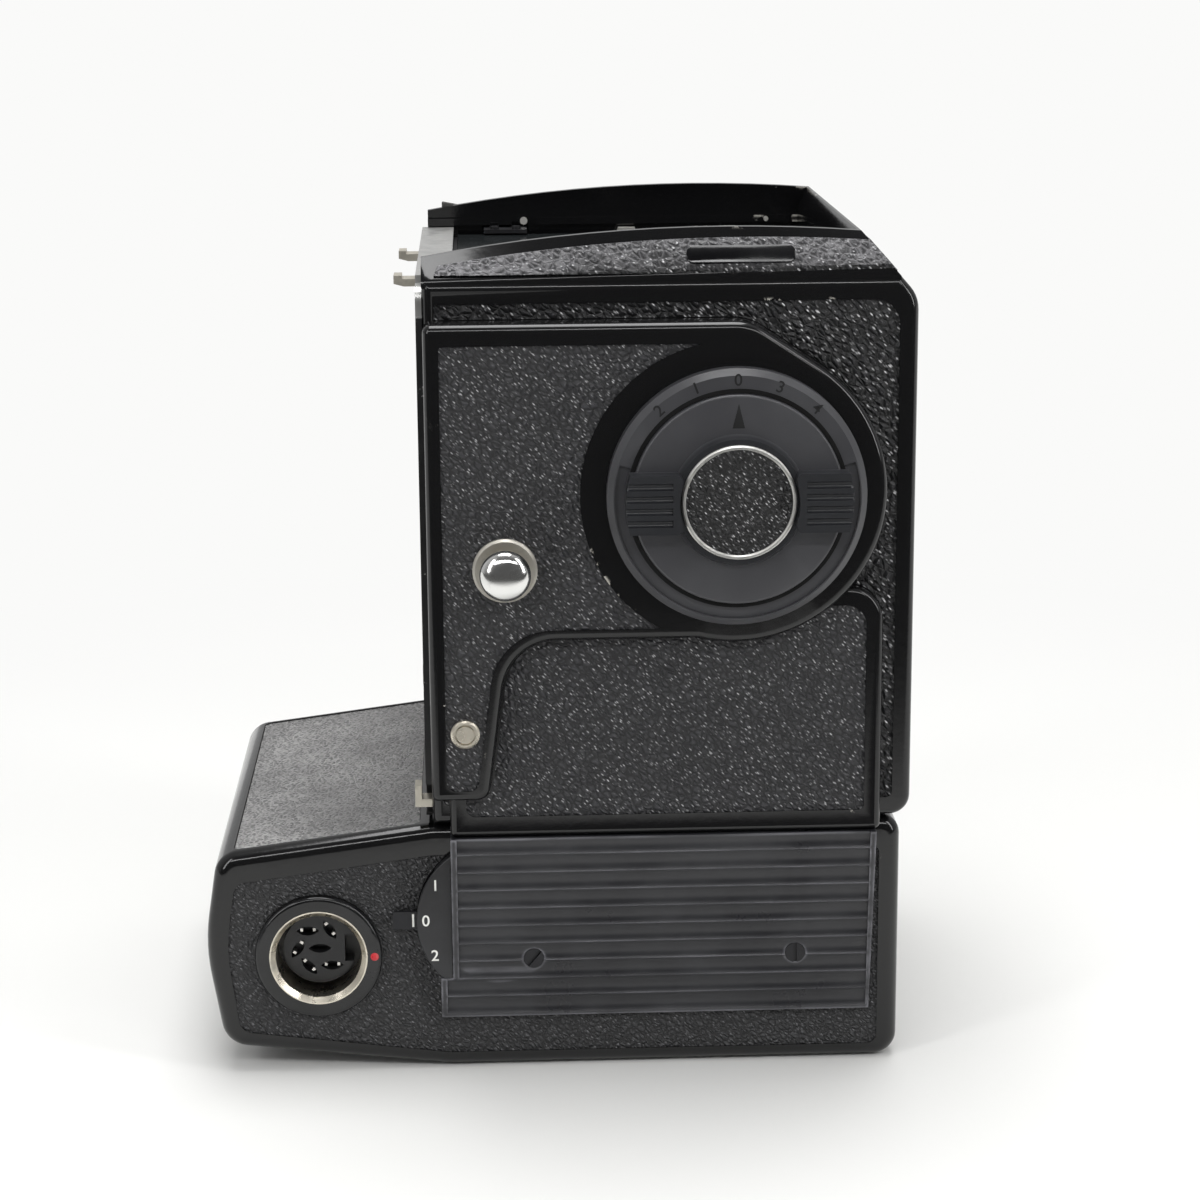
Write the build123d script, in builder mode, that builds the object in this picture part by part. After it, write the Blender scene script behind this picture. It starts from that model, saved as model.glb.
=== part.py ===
from build123d import *
import os
from math import cos, radians, sin, tan

os.makedirs("parts", exist_ok=True)

# Millimetres. +X is the camera's front (lens side), -Y its right-hand side with the dial, +Z up.
# X = 0 is half way between lens flange and magazine seat, Y = 0 the plane of the lens axis,
# Z = 0 the surface that the camera stands on, with the tripod thread at the origin.

# Driving dimensions of the camera body
flange_to_seat = 71.4       # lens flange to magazine seat
axis_z = 79.4               # lens axis above the ground
body_half = 37.0            # half width over the body's side planes
body_bottom = 38.9
body_top = 119.1
rim_proud = 0.3             # front rim ahead of the lens flange
seat_flange = 0.9           # rear plate that stands behind the shell
side_wall = 2.4
floor_wall = 2.0
slot_inset = 5.3            # finder slot, in from the side planes
slot_half = body_half - slot_inset
finder_wall = 1.3
wall_rear_z = 122.1         # finder wall height at the rear
wall_front_z = 125.2        # and at the top of its front slope
wall_mid_z = 125.7
wall_slope_x = 28.0         # where the front slope starts
front_slope = 0.875         # how far the front slope runs forward for each millimetre it falls
edge_r = 1.4                # rounding of the shell's side edges
slip = 0.3                  # clearance between pieces that move past each other
seat_gap = 0.1              # clearance between pieces that are fitted together
skin = 0.5                  # leather
skin_pocket = 0.7           # pocket that the leather lies in

flange_x = flange_to_seat / 2
seat_x = -flange_to_seat / 2
rim_x = flange_x + rim_proud
shell_rear = seat_x + seat_flange
tunnel_half = body_half - side_wall
tunnel_bottom = body_bottom + floor_wall
tunnel_top = body_top - floor_wall
front_opening_top = 113.7   # top of the front opening, under the slope
slope_foot_x = wall_slope_x + (wall_front_z - body_top) * front_slope
slope_low_z = wall_front_z - (rim_x - wall_slope_x) / front_slope
wall_half = slot_half + finder_wall
shoulder_half = body_half - 0.3     # foot of the sloping shoulders

# Side planes seen from the dial side: their depth is the distance out from Y = 0
cover_rise = 5.0
panel_rise = 2.6
dial_x = 9.4
dial_z = axis_z + 9.5
boss_r = 21.8
cover_face = body_half + cover_rise
panel_face = body_half + panel_rise

# Motor base
base_inset = 1.0            # base sides behind the body's side planes
base_half = body_half - base_inset
base_front = 34.8
base_bottom = 0.3
base_top = 38.4
base_wall = 2.2
base_rear = -69.2
base_step = -35.0           # where the top of the base starts to fall towards the rear
pieces = {}


def turned(x, z, radius, angle):
    """A point at an angle on a circle about (x, z)."""
    return (x + radius * cos(radians(angle)), z + radius * sin(radians(angle)))


def rounded(points, radii):
    """Closed outline with a radius at each corner, drawn in the current sketch."""
    with BuildLine() as outline:
        FilletPolyline(points, radius=radii, close=True)
    make_face(outline.edges())


# Outline of the raised side cover: a tall leg at the rear, a low edge under the boss and a slanted
# shoulder that runs tangent into the boss of the dial.
cover_rear = -34.7
cover_top = 113.6
cover_low = 67.8
cover_foot = 43.9
leg_x = -26.4               # front edge of the leg at its foot
leg_lean = 3.2
shoulder_angle = 56.5       # direction in which the slanted shoulder touches the boss
touch = turned(dial_x, dial_z, boss_r, shoulder_angle)
shoulder_run = (cover_top - touch[1]) * tan(radians(shoulder_angle))
cover_points = [
    (cover_rear, cover_foot),
    (leg_x, cover_foot),
    (leg_x + leg_lean, cover_low),
    (dial_x, cover_low),
    (dial_x, dial_z),
    touch,
    (touch[0] - shoulder_run, cover_top),
    (cover_rear, cover_top),
]
cover_radii = [0.8, 2.0, 8.0, 0, 0, 0, 8.0, 1.2]
with BuildSketch() as cover_outline:
    rounded(cover_points, cover_radii)
    with Locations((dial_x, dial_z)):
        Circle(boss_r)

# Outline of the lower panel, which tucks in under the cover's edge
panel_rear = -32.2
panel_front = 31.2
panel_bottom = 37.6
panel_top = dial_z - boss_r + 7.3
with BuildSketch() as panel_outline:
    panel_points = [(panel_rear, panel_bottom), (panel_front, panel_bottom)]
    panel_points += [(panel_front, panel_top), (panel_rear, panel_top)]
    rounded(panel_points, [0.8, 0.8, 5.0, 0])
    offset(cover_outline.sketch, amount=seat_gap, mode=Mode.SUBTRACT)

# Leather field of the side: the whole side inside its rim, less the cover and the panel
field_rear = -33.1
field_front = 33.2
field_bottom = 41.8
field_top = 115.9
with BuildSketch() as side_field:
    field_points = [(field_rear, field_bottom), (field_front, field_bottom)]
    field_points += [(field_front, field_top), (field_rear, field_top)]
    rounded(field_points, [1.0, 1.0, 3.7, 0.5])
with BuildSketch() as side_leather_outline:
    add(side_field.sketch)
    offset(cover_outline.sketch, amount=seat_gap, mode=Mode.SUBTRACT)
    offset(panel_outline.sketch, amount=seat_gap, mode=Mode.SUBTRACT)


def side_profile():
    """Side view of the body shell, with a slope at the front of its top."""
    corners = [(shell_rear, body_bottom), (rim_x, body_bottom), (rim_x, slope_low_z)]
    corners += [(slope_foot_x, body_top), (shell_rear, body_top)]
    rounded(corners, [0.6, 3.0, 5.0, 0, 0.4])


def finder_wall_profile():
    """Side view of a finder wall: a low arched top that falls in the front slope."""
    with BuildLine() as outline:
        Line((shell_rear, body_top - 1.0), (shell_rear, wall_rear_z))
        ThreePointArc(
            (shell_rear, wall_rear_z),
            ((shell_rear + wall_slope_x) / 2, wall_mid_z),
            (wall_slope_x, wall_front_z),
        )
        Line((wall_slope_x, wall_front_z), (slope_foot_x, body_top))
        Line((slope_foot_x, body_top), (slope_foot_x, body_top - 1.0))
        Line((slope_foot_x, body_top - 1.0), (shell_rear, body_top - 1.0))
    make_face(outline.edges())


def slope_x(z):
    """Where the front slope is at a height."""
    return wall_slope_x + (wall_front_z - z) * front_slope


def shoulder_foot_profile():
    """Foot of the shoulder on the side plane, a low strip under the finder wall's profile."""
    foot_front = slope_foot_x - 1.0
    with BuildLine() as outline:
        Line((shell_rear, body_top - 1.0), (shell_rear, body_top))
        Line((shell_rear, body_top), (foot_front, body_top + 1.0 / front_slope))
        Line((foot_front, body_top + 1.0 / front_slope), (slope_foot_x, body_top))
        Line((slope_foot_x, body_top), (slope_foot_x, body_top - 1.0))
        Line((slope_foot_x, body_top - 1.0), (shell_rear, body_top - 1.0))
    make_face(outline.edges())


# Gear train: lens drive shaft, counter shaft, transfer gear and motor pinion, all along X and in
# one plane of teeth. The teeth have straight flanks.
module = 0.6
lens_teeth, counter_teeth, transfer_teeth, pinion_teeth = 15, 17, 26, 9
tooth_x = 28.2
tooth_width = 2.5
lens_shaft_y = -8.0
lens_shaft_z = axis_z - 24.3
counter_angle = -120.0      # direction from the lens shaft to the counter shaft, in the YZ plane


def pitch_r(teeth):
    return module * teeth / 2


lens_centre = (lens_shaft_y, lens_shaft_z)
counter_centre = turned(*lens_centre, pitch_r(lens_teeth + counter_teeth), counter_angle)
transfer_centre = turned(*counter_centre, pitch_r(counter_teeth + transfer_teeth), -90)
pinion_centre = turned(*transfer_centre, pitch_r(transfer_teeth + pinion_teeth), -90)


def gear_sketch(centre, teeth, tooth_at, plane_x=tooth_x):
    """Spur gear outline with one tooth centred on the angle tooth_at."""
    radius = pitch_r(teeth)
    tip = radius + 0.85 * module
    root = radius - 1.15 * module
    pitch_angle = 360 / teeth
    with BuildSketch(Plane.YZ.offset(plane_x)) as gear:
        with BuildLine():
            points = []
            for k in range(teeth):
                middle = tooth_at + k * pitch_angle
                for r, share in ((root, 0.34), (radius, 0.225), (tip, 0.105)):
                    points.append(turned(*centre, r, middle - share * pitch_angle))
                for r, share in ((tip, 0.105), (radius, 0.225), (root, 0.34)):
                    points.append(turned(*centre, r, middle + share * pitch_angle))
            Polyline(*points, close=True)
        make_face()
    return gear


# Phases: on each centre line a tooth of the driven gear stands in a space of the other
lens_phase = counter_angle
counter_phase = counter_angle + 180 + 180 / counter_teeth
transfer_phase = 90 + (0.5 - (counter_phase + 90) * counter_teeth / 360) * 360 / transfer_teeth
pinion_phase = 90 + (0.5 - (transfer_phase + 90) * transfer_teeth / 360) * 360 / pinion_teeth

shaft_fit = 0.05            # running clearance of the shafts, on the radius

transfer_slot = 8.6         # half width of the slot that the transfer gear stands in

# Finder slot and its seat for the screen frame
slot_rear = -31.3           # bare ledge of the rear frame behind it
slot_front = 26.0           # inner face of the wall that closes the slot at the front
slot_lip = 1.6              # how far that wall leans out at its top
ledge_z = body_top + 0.3    # top of the rear ledge
ledge_t = 0.6
rail_low = body_top + 0.6   # rails inside the finder walls, which guide a focusing hood
rail_high = body_top + 1.7
rail_half = slot_half - 1.1
roof_end = 27.5             # ahead of this the tunnel is as low as the front opening

# Focusing screen and its catches. Each catch slides outwards in a pocket of the wall.
chamber_top = 116.0
frame_t = 1.0
frame_rim = 0.6
screen_length = 54.5
screen_t = 1.3
screen_frame_z = chamber_top + seat_gap
catch_x = -22.15
catch_t = 0.6
catch_length = 7.0
catch_half = slot_half - 4.7        # inner edge of the catch over the screen
catch_reach = slot_half + 1.2
catch_travel = 1.5
catch_z = screen_frame_z + frame_t + screen_t + slip
catch_stud_r = 0.72
rivet_x = -19.1
rivet_z = (rail_low + rail_high) / 2
rivet_r = 0.6

with BuildPart() as body_shell:
    with BuildSketch(Plane.XZ.offset(-body_half)):
        side_profile()
    extrude(amount=2 * body_half)
    side_faces = body_shell.faces().filter_by(Axis.Y)
    fillet(side_faces.edges(), edge_r)
    for side in (1, -1):
        with BuildSketch(Plane.XZ.offset(side * slot_half)):
            finder_wall_profile()
        with BuildSketch(Plane.XZ.offset(side * wall_half)):
            finder_wall_profile()
        loft(ruled=True)
        with BuildSketch(Plane.XZ.offset(side * wall_half)):
            finder_wall_profile()
        with BuildSketch(Plane.XZ.offset(side * shoulder_half)):
            shoulder_foot_profile()
        loft(ruled=True)
    with BuildSketch(Plane.XZ.offset(-wall_half)):
        with BuildLine():
            Polyline(
                (slot_front, body_top - 1.0), (slot_front, wall_front_z - 2 * slot_lip),
                (slot_front + slot_lip, wall_front_z), (wall_slope_x, wall_front_z),
                (slope_foot_x, body_top), (slope_foot_x, body_top - 1.0), close=True,
            )
        make_face()
    extrude(amount=2 * wall_half)
    for start, end, top in ((shell_rear, roof_end, tunnel_top), (roof_end, rim_x, front_opening_top)):
        with BuildSketch(Plane.YZ.offset(start)):
            with Locations((0, (tunnel_bottom + top) / 2)):
                RectangleRounded(2 * tunnel_half, top - tunnel_bottom, 3.0)
        extrude(amount=end - start, mode=Mode.SUBTRACT)
    with BuildSketch(Plane.XY.offset(tunnel_top - 0.1)):
        with Locations(((slot_rear + slot_front) / 2, 0)):
            Rectangle(slot_front - slot_rear, 2 * slot_half)
    extrude(amount=rail_low - tunnel_top + 0.1, mode=Mode.SUBTRACT)
    with BuildSketch(Plane.XY.offset(ledge_z - ledge_t)):
        with Locations(((shell_rear + slot_rear) / 2, 0)):
            Rectangle(slot_rear - shell_rear, 2 * (slot_half - seat_gap))
    extrude(amount=ledge_t, mode=Mode.SUBTRACT)
    for side in (1, -1):
        with BuildSketch(Plane.XZ.offset(side * rail_half)):
            with Locations(((shell_rear + slot_front) / 2, (rail_low + rail_high) / 2)):
                Rectangle(slot_front - shell_rear, rail_high - rail_low)
            with Locations((rivet_x, (rail_low + rail_high) / 2)):
                Rectangle(3.8, rail_high - rail_low, mode=Mode.SUBTRACT)
        extrude(amount=side * (slot_half - rail_half))
        with BuildSketch(Plane.XZ.offset(side * body_half)):
            add(side_field.sketch if side < 0 else side_leather_outline.sketch)
        extrude(amount=-side * skin_pocket, mode=Mode.SUBTRACT)
        with BuildSketch(Plane.XZ.offset(side * (slot_half - 0.5))):
            with Locations((catch_x, catch_z + catch_t / 2)):
                Rectangle(catch_length + 2 * slip, catch_t + 2 * slip)
        extrude(amount=side * (catch_reach + catch_travel + slip - slot_half + 0.5), mode=Mode.SUBTRACT)
    with BuildSketch(Plane.XY.offset(body_bottom)):
        with Locations((tooth_x + tooth_width / 2, transfer_centre[0])):
            Rectangle(tooth_width + 2 * slip, 2 * transfer_slot)
    extrude(amount=floor_wall, mode=Mode.SUBTRACT)
pieces["body_shell"] = body_shell


bare_rim = 1.2              # lacquered rims above and below the leather of the roof
leather_foot = body_top + 0.8
leather_head = wall_front_z - bare_rim


def shoulder_leather(side):
    """Leather on a sloping shoulder, pointed at the rear. It wraps on to the front slope."""
    with BuildPart() as shoulder:
        with BuildSketch(Plane.XZ.offset(side * wall_half)):
            finder_wall_profile()
        with BuildSketch(Plane.XZ.offset(side * shoulder_half)):
            shoulder_foot_profile()
        loft(ruled=True)
    with BuildPart() as leather:
        with BuildSketch(Plane.XZ.offset(side * wall_half)):
            with BuildLine():
                rear_low = (shell_rear + 1.8, leather_foot)
                rear_high = (shell_rear + 2.4, wall_rear_z - 1.0)
                middle = ((shell_rear + wall_slope_x) / 2, wall_mid_z - bare_rim - 0.3)
                front_high = (slope_x(leather_head), leather_head)
                front_low = (slope_x(leather_foot), leather_foot)
                Line(rear_low, rear_high)
                ThreePointArc(rear_high, middle, front_high)
                Line(front_high, front_low)
                Line(front_low, rear_low)
            make_face()
        extrude(amount=side * (shoulder_half - wall_half))
        shifted = Pos(0, -side * 0.35, 0.12) * shoulder.part
        add(shifted, mode=Mode.INTERSECT)
        add(shoulder.part, mode=Mode.SUBTRACT)
    return leather


def hip_y(z):
    """Half width of the front slope at a height."""
    fall = (wall_front_z - z) / (wall_front_z - body_top - 1.0 / front_slope)
    return wall_half + fall * (shoulder_half - wall_half)


slope_stretch = (1 + front_slope ** 2) ** 0.5
slope_plane = Plane((slope_x(leather_foot), 0, leather_foot), x_dir=(0, 1, 0), z_dir=(1, 0, front_slope))
shoulders = [shoulder_leather(1), shoulder_leather(-1)]
with BuildPart() as body_leather:
    with BuildSketch(Plane.XZ.offset(body_half - skin_pocket)):
        add(side_leather_outline.sketch)
    extrude(amount=skin)
    with BuildSketch(Plane.XZ.offset(-(body_half - skin_pocket))):
        add(side_field.sketch)
    extrude(amount=-skin)
    for shoulder in shoulders:
        add(shoulder.part)
    with BuildSketch(slope_plane):
        slope_length = (leather_head - leather_foot) * slope_stretch
        with BuildLine():
            Polyline(
                (-hip_y(leather_foot), 0), (hip_y(leather_foot), 0),
                (hip_y(leather_head), slope_length), (-hip_y(leather_head), slope_length), close=True,
            )
        make_face()
    extrude(amount=0.12)
pieces["body_leather"] = body_leather

# Raised side cover: hollow behind, with a boss for the dial and a pocket for its leather
cover_wall = 1.4
cover_edge_r = 1.2
spindle_r = 3.0             # spindle of the dial
leather_margin = 1.6
with BuildSketch() as cover_leather_outline:
    head_margin = 3.0
    leg_margin = 1.6
    leather_points = [
        (cover_rear + 2.2, cover_foot + leather_margin),
        (leg_x - leg_margin, cover_foot + leather_margin),
        (leg_x + leg_lean - leg_margin, cover_low + leather_margin),
        (dial_x, cover_low + leather_margin),
        (dial_x, cover_top - head_margin),
        (cover_rear + 2.2, cover_top - head_margin),
    ]
    rounded(leather_points, [1.5, 1.5, 9.0, 0, 0, 0.6])
    with Locations((dial_x, dial_z)):
        Circle(boss_r + 0.4, mode=Mode.SUBTRACT)

with BuildPart() as side_cover:
    with BuildSketch(Plane.XZ.offset(body_half)):
        add(cover_outline.sketch)
    extrude(amount=cover_rise)
    fillet(side_cover.faces().sort_by(Axis.Y)[0].edges(), cover_edge_r)
    with BuildSketch(Plane.XZ.offset(body_half)):
        offset(cover_outline.sketch, amount=-cover_wall)
    extrude(amount=cover_rise - cover_wall, mode=Mode.SUBTRACT)
    with BuildSketch(Plane.XZ.offset(cover_face)):
        add(cover_leather_outline.sketch)
    extrude(amount=-skin_pocket, mode=Mode.SUBTRACT)
    with BuildSketch(Plane.XZ.offset(body_half)):
        with Locations((dial_x, dial_z)):
            Circle(spindle_r + shaft_fit)
    extrude(amount=cover_rise, mode=Mode.SUBTRACT)
pieces["side_cover"] = side_cover

with BuildPart() as side_cover_leather:
    with BuildSketch(Plane.XZ.offset(cover_face - skin_pocket)):
        add(cover_leather_outline.sketch)
    extrude(amount=skin)
pieces["side_cover_leather"] = side_cover_leather

with BuildSketch() as panel_leather_outline:
    inner_rear = panel_rear + 2.4
    inner_front = panel_front - 2.5
    inner_points = [(inner_rear, panel_bottom + 3.2), (inner_front, panel_bottom + 3.2)]
    inner_points += [(inner_front, panel_top - 2.6), (inner_rear, panel_top - 2.6)]
    rounded(inner_points, [1.5, 0.8, 3.0, 0])
    offset(cover_outline.sketch, amount=seat_gap + 0.3, mode=Mode.SUBTRACT)
with BuildPart() as lower_panel:
    with BuildSketch(Plane.XZ.offset(body_half)):
        add(panel_outline.sketch)
    extrude(amount=panel_rise)
    panel_rim = lower_panel.faces().sort_by(Axis.Y)[0].edges().filter_by(GeomType.LINE)
    panel_ends = [panel_rim.sort_by(Axis.X)[0], panel_rim.sort_by(Axis.X)[-1]]
    fillet(panel_rim.group_by(Axis.Z)[0] + panel_ends, 1.0)
    with BuildSketch(Plane.XZ.offset(panel_face)):
        add(panel_leather_outline.sketch)
    extrude(amount=-skin_pocket, mode=Mode.SUBTRACT)
pieces["lower_panel"] = lower_panel

with BuildPart() as lower_panel_leather:
    with BuildSketch(Plane.XZ.offset(panel_face - skin_pocket)):
        add(panel_leather_outline.sketch)
    extrude(amount=skin)
pieces["lower_panel_leather"] = lower_panel_leather

# Selector dial: index ring on the cover, disc with two ribbed finger blocks, bright ring and leather
ring_r = 18.5
ring_bore = 15.35
ring_face = cover_face + 3.0
ring_bevel = 0.9
ring_step_r = 17.4          # the ring is lower inside this, except under its scale
ring_step = 0.45
scale_angle = 57.0          # the raised scale reaches this far to each side of the top
ramp_angle = 16.0
disc_r = 15.05
disc_face = ring_face + 1.0
block_reach = 16.0
block_inner = 8.5
block_groove_inner = 9.4
block_half = 4.2
block_face = disc_face + 3.0
block_grooves = 4
block_pitch = 1.75
hub_r = 9.6
hub_face = disc_face + 1.2
trim_r = 8.15
trim_bore = 7.55
with BuildPart() as index_ring:
    with BuildSketch(Plane.XZ.offset(cover_face)):
        with Locations((dial_x, dial_z)):
            Circle(ring_r)
            Circle(ring_bore, mode=Mode.SUBTRACT)
    extrude(amount=ring_face - cover_face)
    outer = index_ring.edges().filter_by(GeomType.CIRCLE).sort_by(Axis.Y)[0:2]
    chamfer(outer.sort_by(SortBy.RADIUS)[-1], ring_bevel)
    low_start = 90 + scale_angle + ramp_angle
    low_end = 450 - scale_angle - ramp_angle
    with BuildSketch(Plane.XZ.offset(ring_face)):
        with BuildLine():
            CenterArc((dial_x, dial_z), ring_step_r, low_start, low_end - low_start)
            CenterArc((dial_x, dial_z), ring_bore - 0.5, low_start, low_end - low_start)
            for angle in (low_start, low_end):
                Line(
                    turned(dial_x, dial_z, ring_step_r, angle),
                    turned(dial_x, dial_z, ring_bore - 0.5, angle),
                )
        make_face()
    extrude(amount=-ring_step, mode=Mode.SUBTRACT)
    ramp_half = ring_step_r * sin(radians(ramp_angle / 2))
    for side in (1, -1):
        angle = 90 + side * (scale_angle + ramp_angle / 2)
        foot_x, foot_z = turned(dial_x, dial_z, ring_bore - 0.5, angle)
        along = (-side * sin(radians(angle)), 0, side * cos(radians(angle)))
        out = (cos(radians(angle)), 0, sin(radians(angle)))
        with BuildSketch(Plane((foot_x, -ring_face, foot_z), x_dir=along, z_dir=out)):
            with BuildLine():
                sink = side * ring_step
                Polyline((-ramp_half, 0), (ramp_half, 0), (ramp_half, sink), close=True)
            make_face()
        extrude(amount=ring_step_r - ring_bore + 0.5, mode=Mode.SUBTRACT)
pieces["index_ring"] = index_ring

with BuildPart() as mode_dial:
    with BuildSketch(Plane.XZ.offset(cover_face + slip)):
        with Locations((dial_x, dial_z)):
            Circle(disc_r)
    extrude(amount=disc_face - cover_face - slip)
    fillet(mode_dial.faces().sort_by(Axis.Y)[0].edges(), 0.4)
    with BuildSketch(Plane.XZ.offset(disc_face - 0.2)):
        with Locations((dial_x, dial_z)):
            Circle(hub_r)
    extrude(amount=hub_face - disc_face + 0.2, taper=25)
    for side in (1, -1):
        block_x = dial_x + side * (block_reach + block_inner) / 2
        with BuildSketch(Plane.XZ.offset(disc_face - 0.2)):
            with Locations((block_x, dial_z)):
                RectangleRounded(block_reach - block_inner + 1.0, 2 * block_half, 0.8)
            with Locations((dial_x, dial_z)):
                Circle(block_reach, mode=Mode.INTERSECT)
                Circle(trim_r + 0.3, mode=Mode.SUBTRACT)
        extrude(amount=block_face - disc_face + 0.2)
        groove_x = dial_x + side * (block_reach + block_groove_inner + 1.0) / 2
        groove_length = block_reach - block_groove_inner + 1.0
        with BuildSketch(Plane.YZ.offset(groove_x - groove_length / 2)):
            with Locations((-block_face, dial_z)):
                with GridLocations(1, block_pitch, 1, block_grooves):
                    Circle(0.5)
        extrude(amount=groove_length, mode=Mode.SUBTRACT)
    with BuildSketch(Plane.XZ.offset(body_half + slip)):
        with Locations((dial_x, dial_z)):
            Circle(spindle_r)
    extrude(amount=cover_face - body_half)
pieces["mode_dial"] = mode_dial

with BuildPart() as dial_trim_ring:
    with BuildSketch(Plane.XZ.offset(hub_face)):
        with Locations((dial_x, dial_z)):
            Circle(trim_r)
            Circle(trim_bore, mode=Mode.SUBTRACT)
    extrude(amount=0.75)
    chamfer(dial_trim_ring.edges().filter_by(GeomType.CIRCLE).group_by(Axis.Y)[0], 0.2)
pieces["dial_trim_ring"] = dial_trim_ring

with BuildPart() as dial_leather:
    with BuildSketch(Plane.XZ.offset(hub_face)):
        with Locations((dial_x, dial_z)):
            Circle(trim_bore - 0.05)
    extrude(amount=skin)
pieces["dial_leather"] = dial_leather

# Mushroom strap lugs, one on the cover and one on the far side of the body
lug_x = -23.6
lug_z = 78.4


def strap_lug(side, seat):
    """Turned lug with a flat collar, a neck and a domed head."""
    with BuildPart() as lug:
        for start, length, radius in ((0, 0.9, 4.65), (0.9, 2.1, 2.1), (3.0, 1.9, 3.55)):
            with BuildSketch(Plane.XZ.offset(side * (seat + start))):
                with Locations((lug_x, lug_z)):
                    Circle(radius)
            extrude(amount=side * length)
        crowns = lug.edges().filter_by(GeomType.CIRCLE).sort_by(Axis.Y, reverse=side > 0)
        fillet(crowns[-1], 1.2)
        collars = [e for e in lug.edges().filter_by(GeomType.CIRCLE) if e.radius > 4]
        chamfer(sorted(collars, key=lambda e: -side * e.center().Y)[-1], 0.35)
    return lug


lugs = [
    strap_lug(1, cover_face - skin_pocket + skin),
    strap_lug(-1, body_half - skin_pocket + skin),
]
with BuildPart() as strap_lugs:
    for lug in lugs:
        add(lug.part)
pieces["strap_lugs"] = strap_lugs

stud_x = -29.7
stud_z = 54.2
with BuildPart() as cover_stud:
    with BuildSketch(Plane.XZ.offset(cover_face - skin_pocket + skin)):
        with Locations((stud_x, stud_z)):
            Circle(2.1)
    extrude(amount=0.8)
    chamfer(cover_stud.edges().filter_by(GeomType.CIRCLE).group_by(Axis.Y)[0], 0.25)
    with BuildSketch(Plane.XZ.offset(cover_face - skin_pocket + skin + 0.8)):
        with Locations((stud_x, stud_z)):
            Circle(1.5)
            Circle(1.3, mode=Mode.SUBTRACT)
    extrude(amount=-0.5, mode=Mode.SUBTRACT)
pieces["cover_stud"] = cover_stud

# Rear frame: plate with the film gate, seat for the magazine
chamber_half = tunnel_half - 4.6
chamber_wall = 2.0
gate_half = chamber_half - 2.0
rear_plug = 1.8
hook_y = 15.5
hook_z = 116.6
hook_half = 2.0
hook_notch = 2.2            # height of the notches that the hooks and supports stand in
support_y = body_half - 2.8
support_z = 42.0
support_half = 1.5
support_notch = 4.4
plug_front = shell_rear + rear_plug
with BuildPart() as rear_plate:
    with BuildSketch(Plane.YZ.offset(seat_x)):
        with Locations((0, (body_bottom + body_top) / 2)):
            RectangleRounded(2 * body_half - 1.6, body_top - body_bottom - 1.6, 2.0)
    extrude(amount=seat_flange)
    with BuildSketch(Plane.YZ.offset(shell_rear)):
        with Locations((0, (tunnel_bottom + tunnel_top) / 2)):
            plug_height = tunnel_top - tunnel_bottom - 2 * seat_gap
            RectangleRounded(2 * (tunnel_half - seat_gap), plug_height, 3.0 - seat_gap)
    extrude(amount=rear_plug)
    with BuildSketch(Plane.YZ.offset(seat_x)):
        with Locations((0, axis_z)):
            RectangleRounded(2 * gate_half, 2 * gate_half, 1.0)
    extrude(amount=seat_flange + rear_plug, mode=Mode.SUBTRACT)
    with BuildSketch(Plane.YZ.offset(seat_x)):
        with Locations((0, (ledge_z + body_top - 1.0) / 2)):
            Rectangle(2 * (slot_half - 2 * seat_gap), ledge_z - body_top + 1.0)
    extrude(amount=seat_flange)
    with BuildSketch(Plane.XY.offset(ledge_z - ledge_t)):
        with Locations(((seat_x + slot_rear + 0.7) / 2, 0)):
            Rectangle(slot_rear + 0.7 - seat_x, 2 * (slot_half - 2 * seat_gap))
    extrude(amount=ledge_t)
    with BuildSketch(Plane.YZ.offset(seat_x)):
        with Locations((hook_y, hook_z + 0.2), (-hook_y, hook_z + 0.2)):
            Rectangle(2 * (hook_half + slip), hook_notch)
        with Locations((support_y, support_z + 0.7), (-support_y, support_z + 0.7)):
            Rectangle(2 * (support_half + 1.5), support_notch)
    extrude(amount=seat_flange, mode=Mode.SUBTRACT)

counter_r = 1.5
magazine_gear_r = 4.4
magazine_gear_teeth = 11
magazine_gear_width = 1.6
with rear_plate:
    with BuildSketch(Plane.YZ.offset(seat_x)):
        with Locations(counter_centre):
            Circle(magazine_gear_r + 0.3)
    extrude(amount=magazine_gear_width + 0.4, mode=Mode.SUBTRACT)
    with BuildSketch(Plane.YZ.offset(seat_x)):
        with Locations(counter_centre):
            Circle(counter_r + shaft_fit)
    extrude(amount=seat_flange + rear_plug, mode=Mode.SUBTRACT)
pieces["rear_plate"] = rear_plate

bearing_x = 21.0            # rear end of the lens shaft, in its bearing block
with BuildPart() as lens_drive_shaft:
    with BuildSketch(Plane.YZ.offset(bearing_x)):
        with Locations(lens_centre):
            Circle(1.8)
    extrude(amount=tooth_x + tooth_width + 1.0 - bearing_x)
    with BuildSketch(Plane.YZ.offset(tooth_x + tooth_width + 0.5)):
        with Locations(lens_centre):
            Circle(2.6)
    extrude(amount=3.6)
    add(extrude(gear_sketch(lens_centre, lens_teeth, lens_phase).sketch, amount=tooth_width,
                mode=Mode.PRIVATE))
    with BuildSketch(Plane.YZ.offset(tooth_x + tooth_width + 4.1)):
        with Locations(Location((lens_shaft_y, lens_shaft_z), 45)):
            Rectangle(6, 0.9)
    extrude(amount=-1.2, mode=Mode.SUBTRACT)
pieces["lens_drive_shaft"] = lens_drive_shaft

with BuildPart() as counter_shaft:
    with BuildSketch(Plane.YZ.offset(seat_x + 0.1)):
        with Locations(counter_centre):
            Circle(counter_r)
    extrude(amount=tooth_x + tooth_width - seat_x - 0.1)
    add(extrude(gear_sketch(counter_centre, counter_teeth, counter_phase).sketch,
                amount=tooth_width, mode=Mode.PRIVATE))
pieces["counter_shaft"] = counter_shaft

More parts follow.
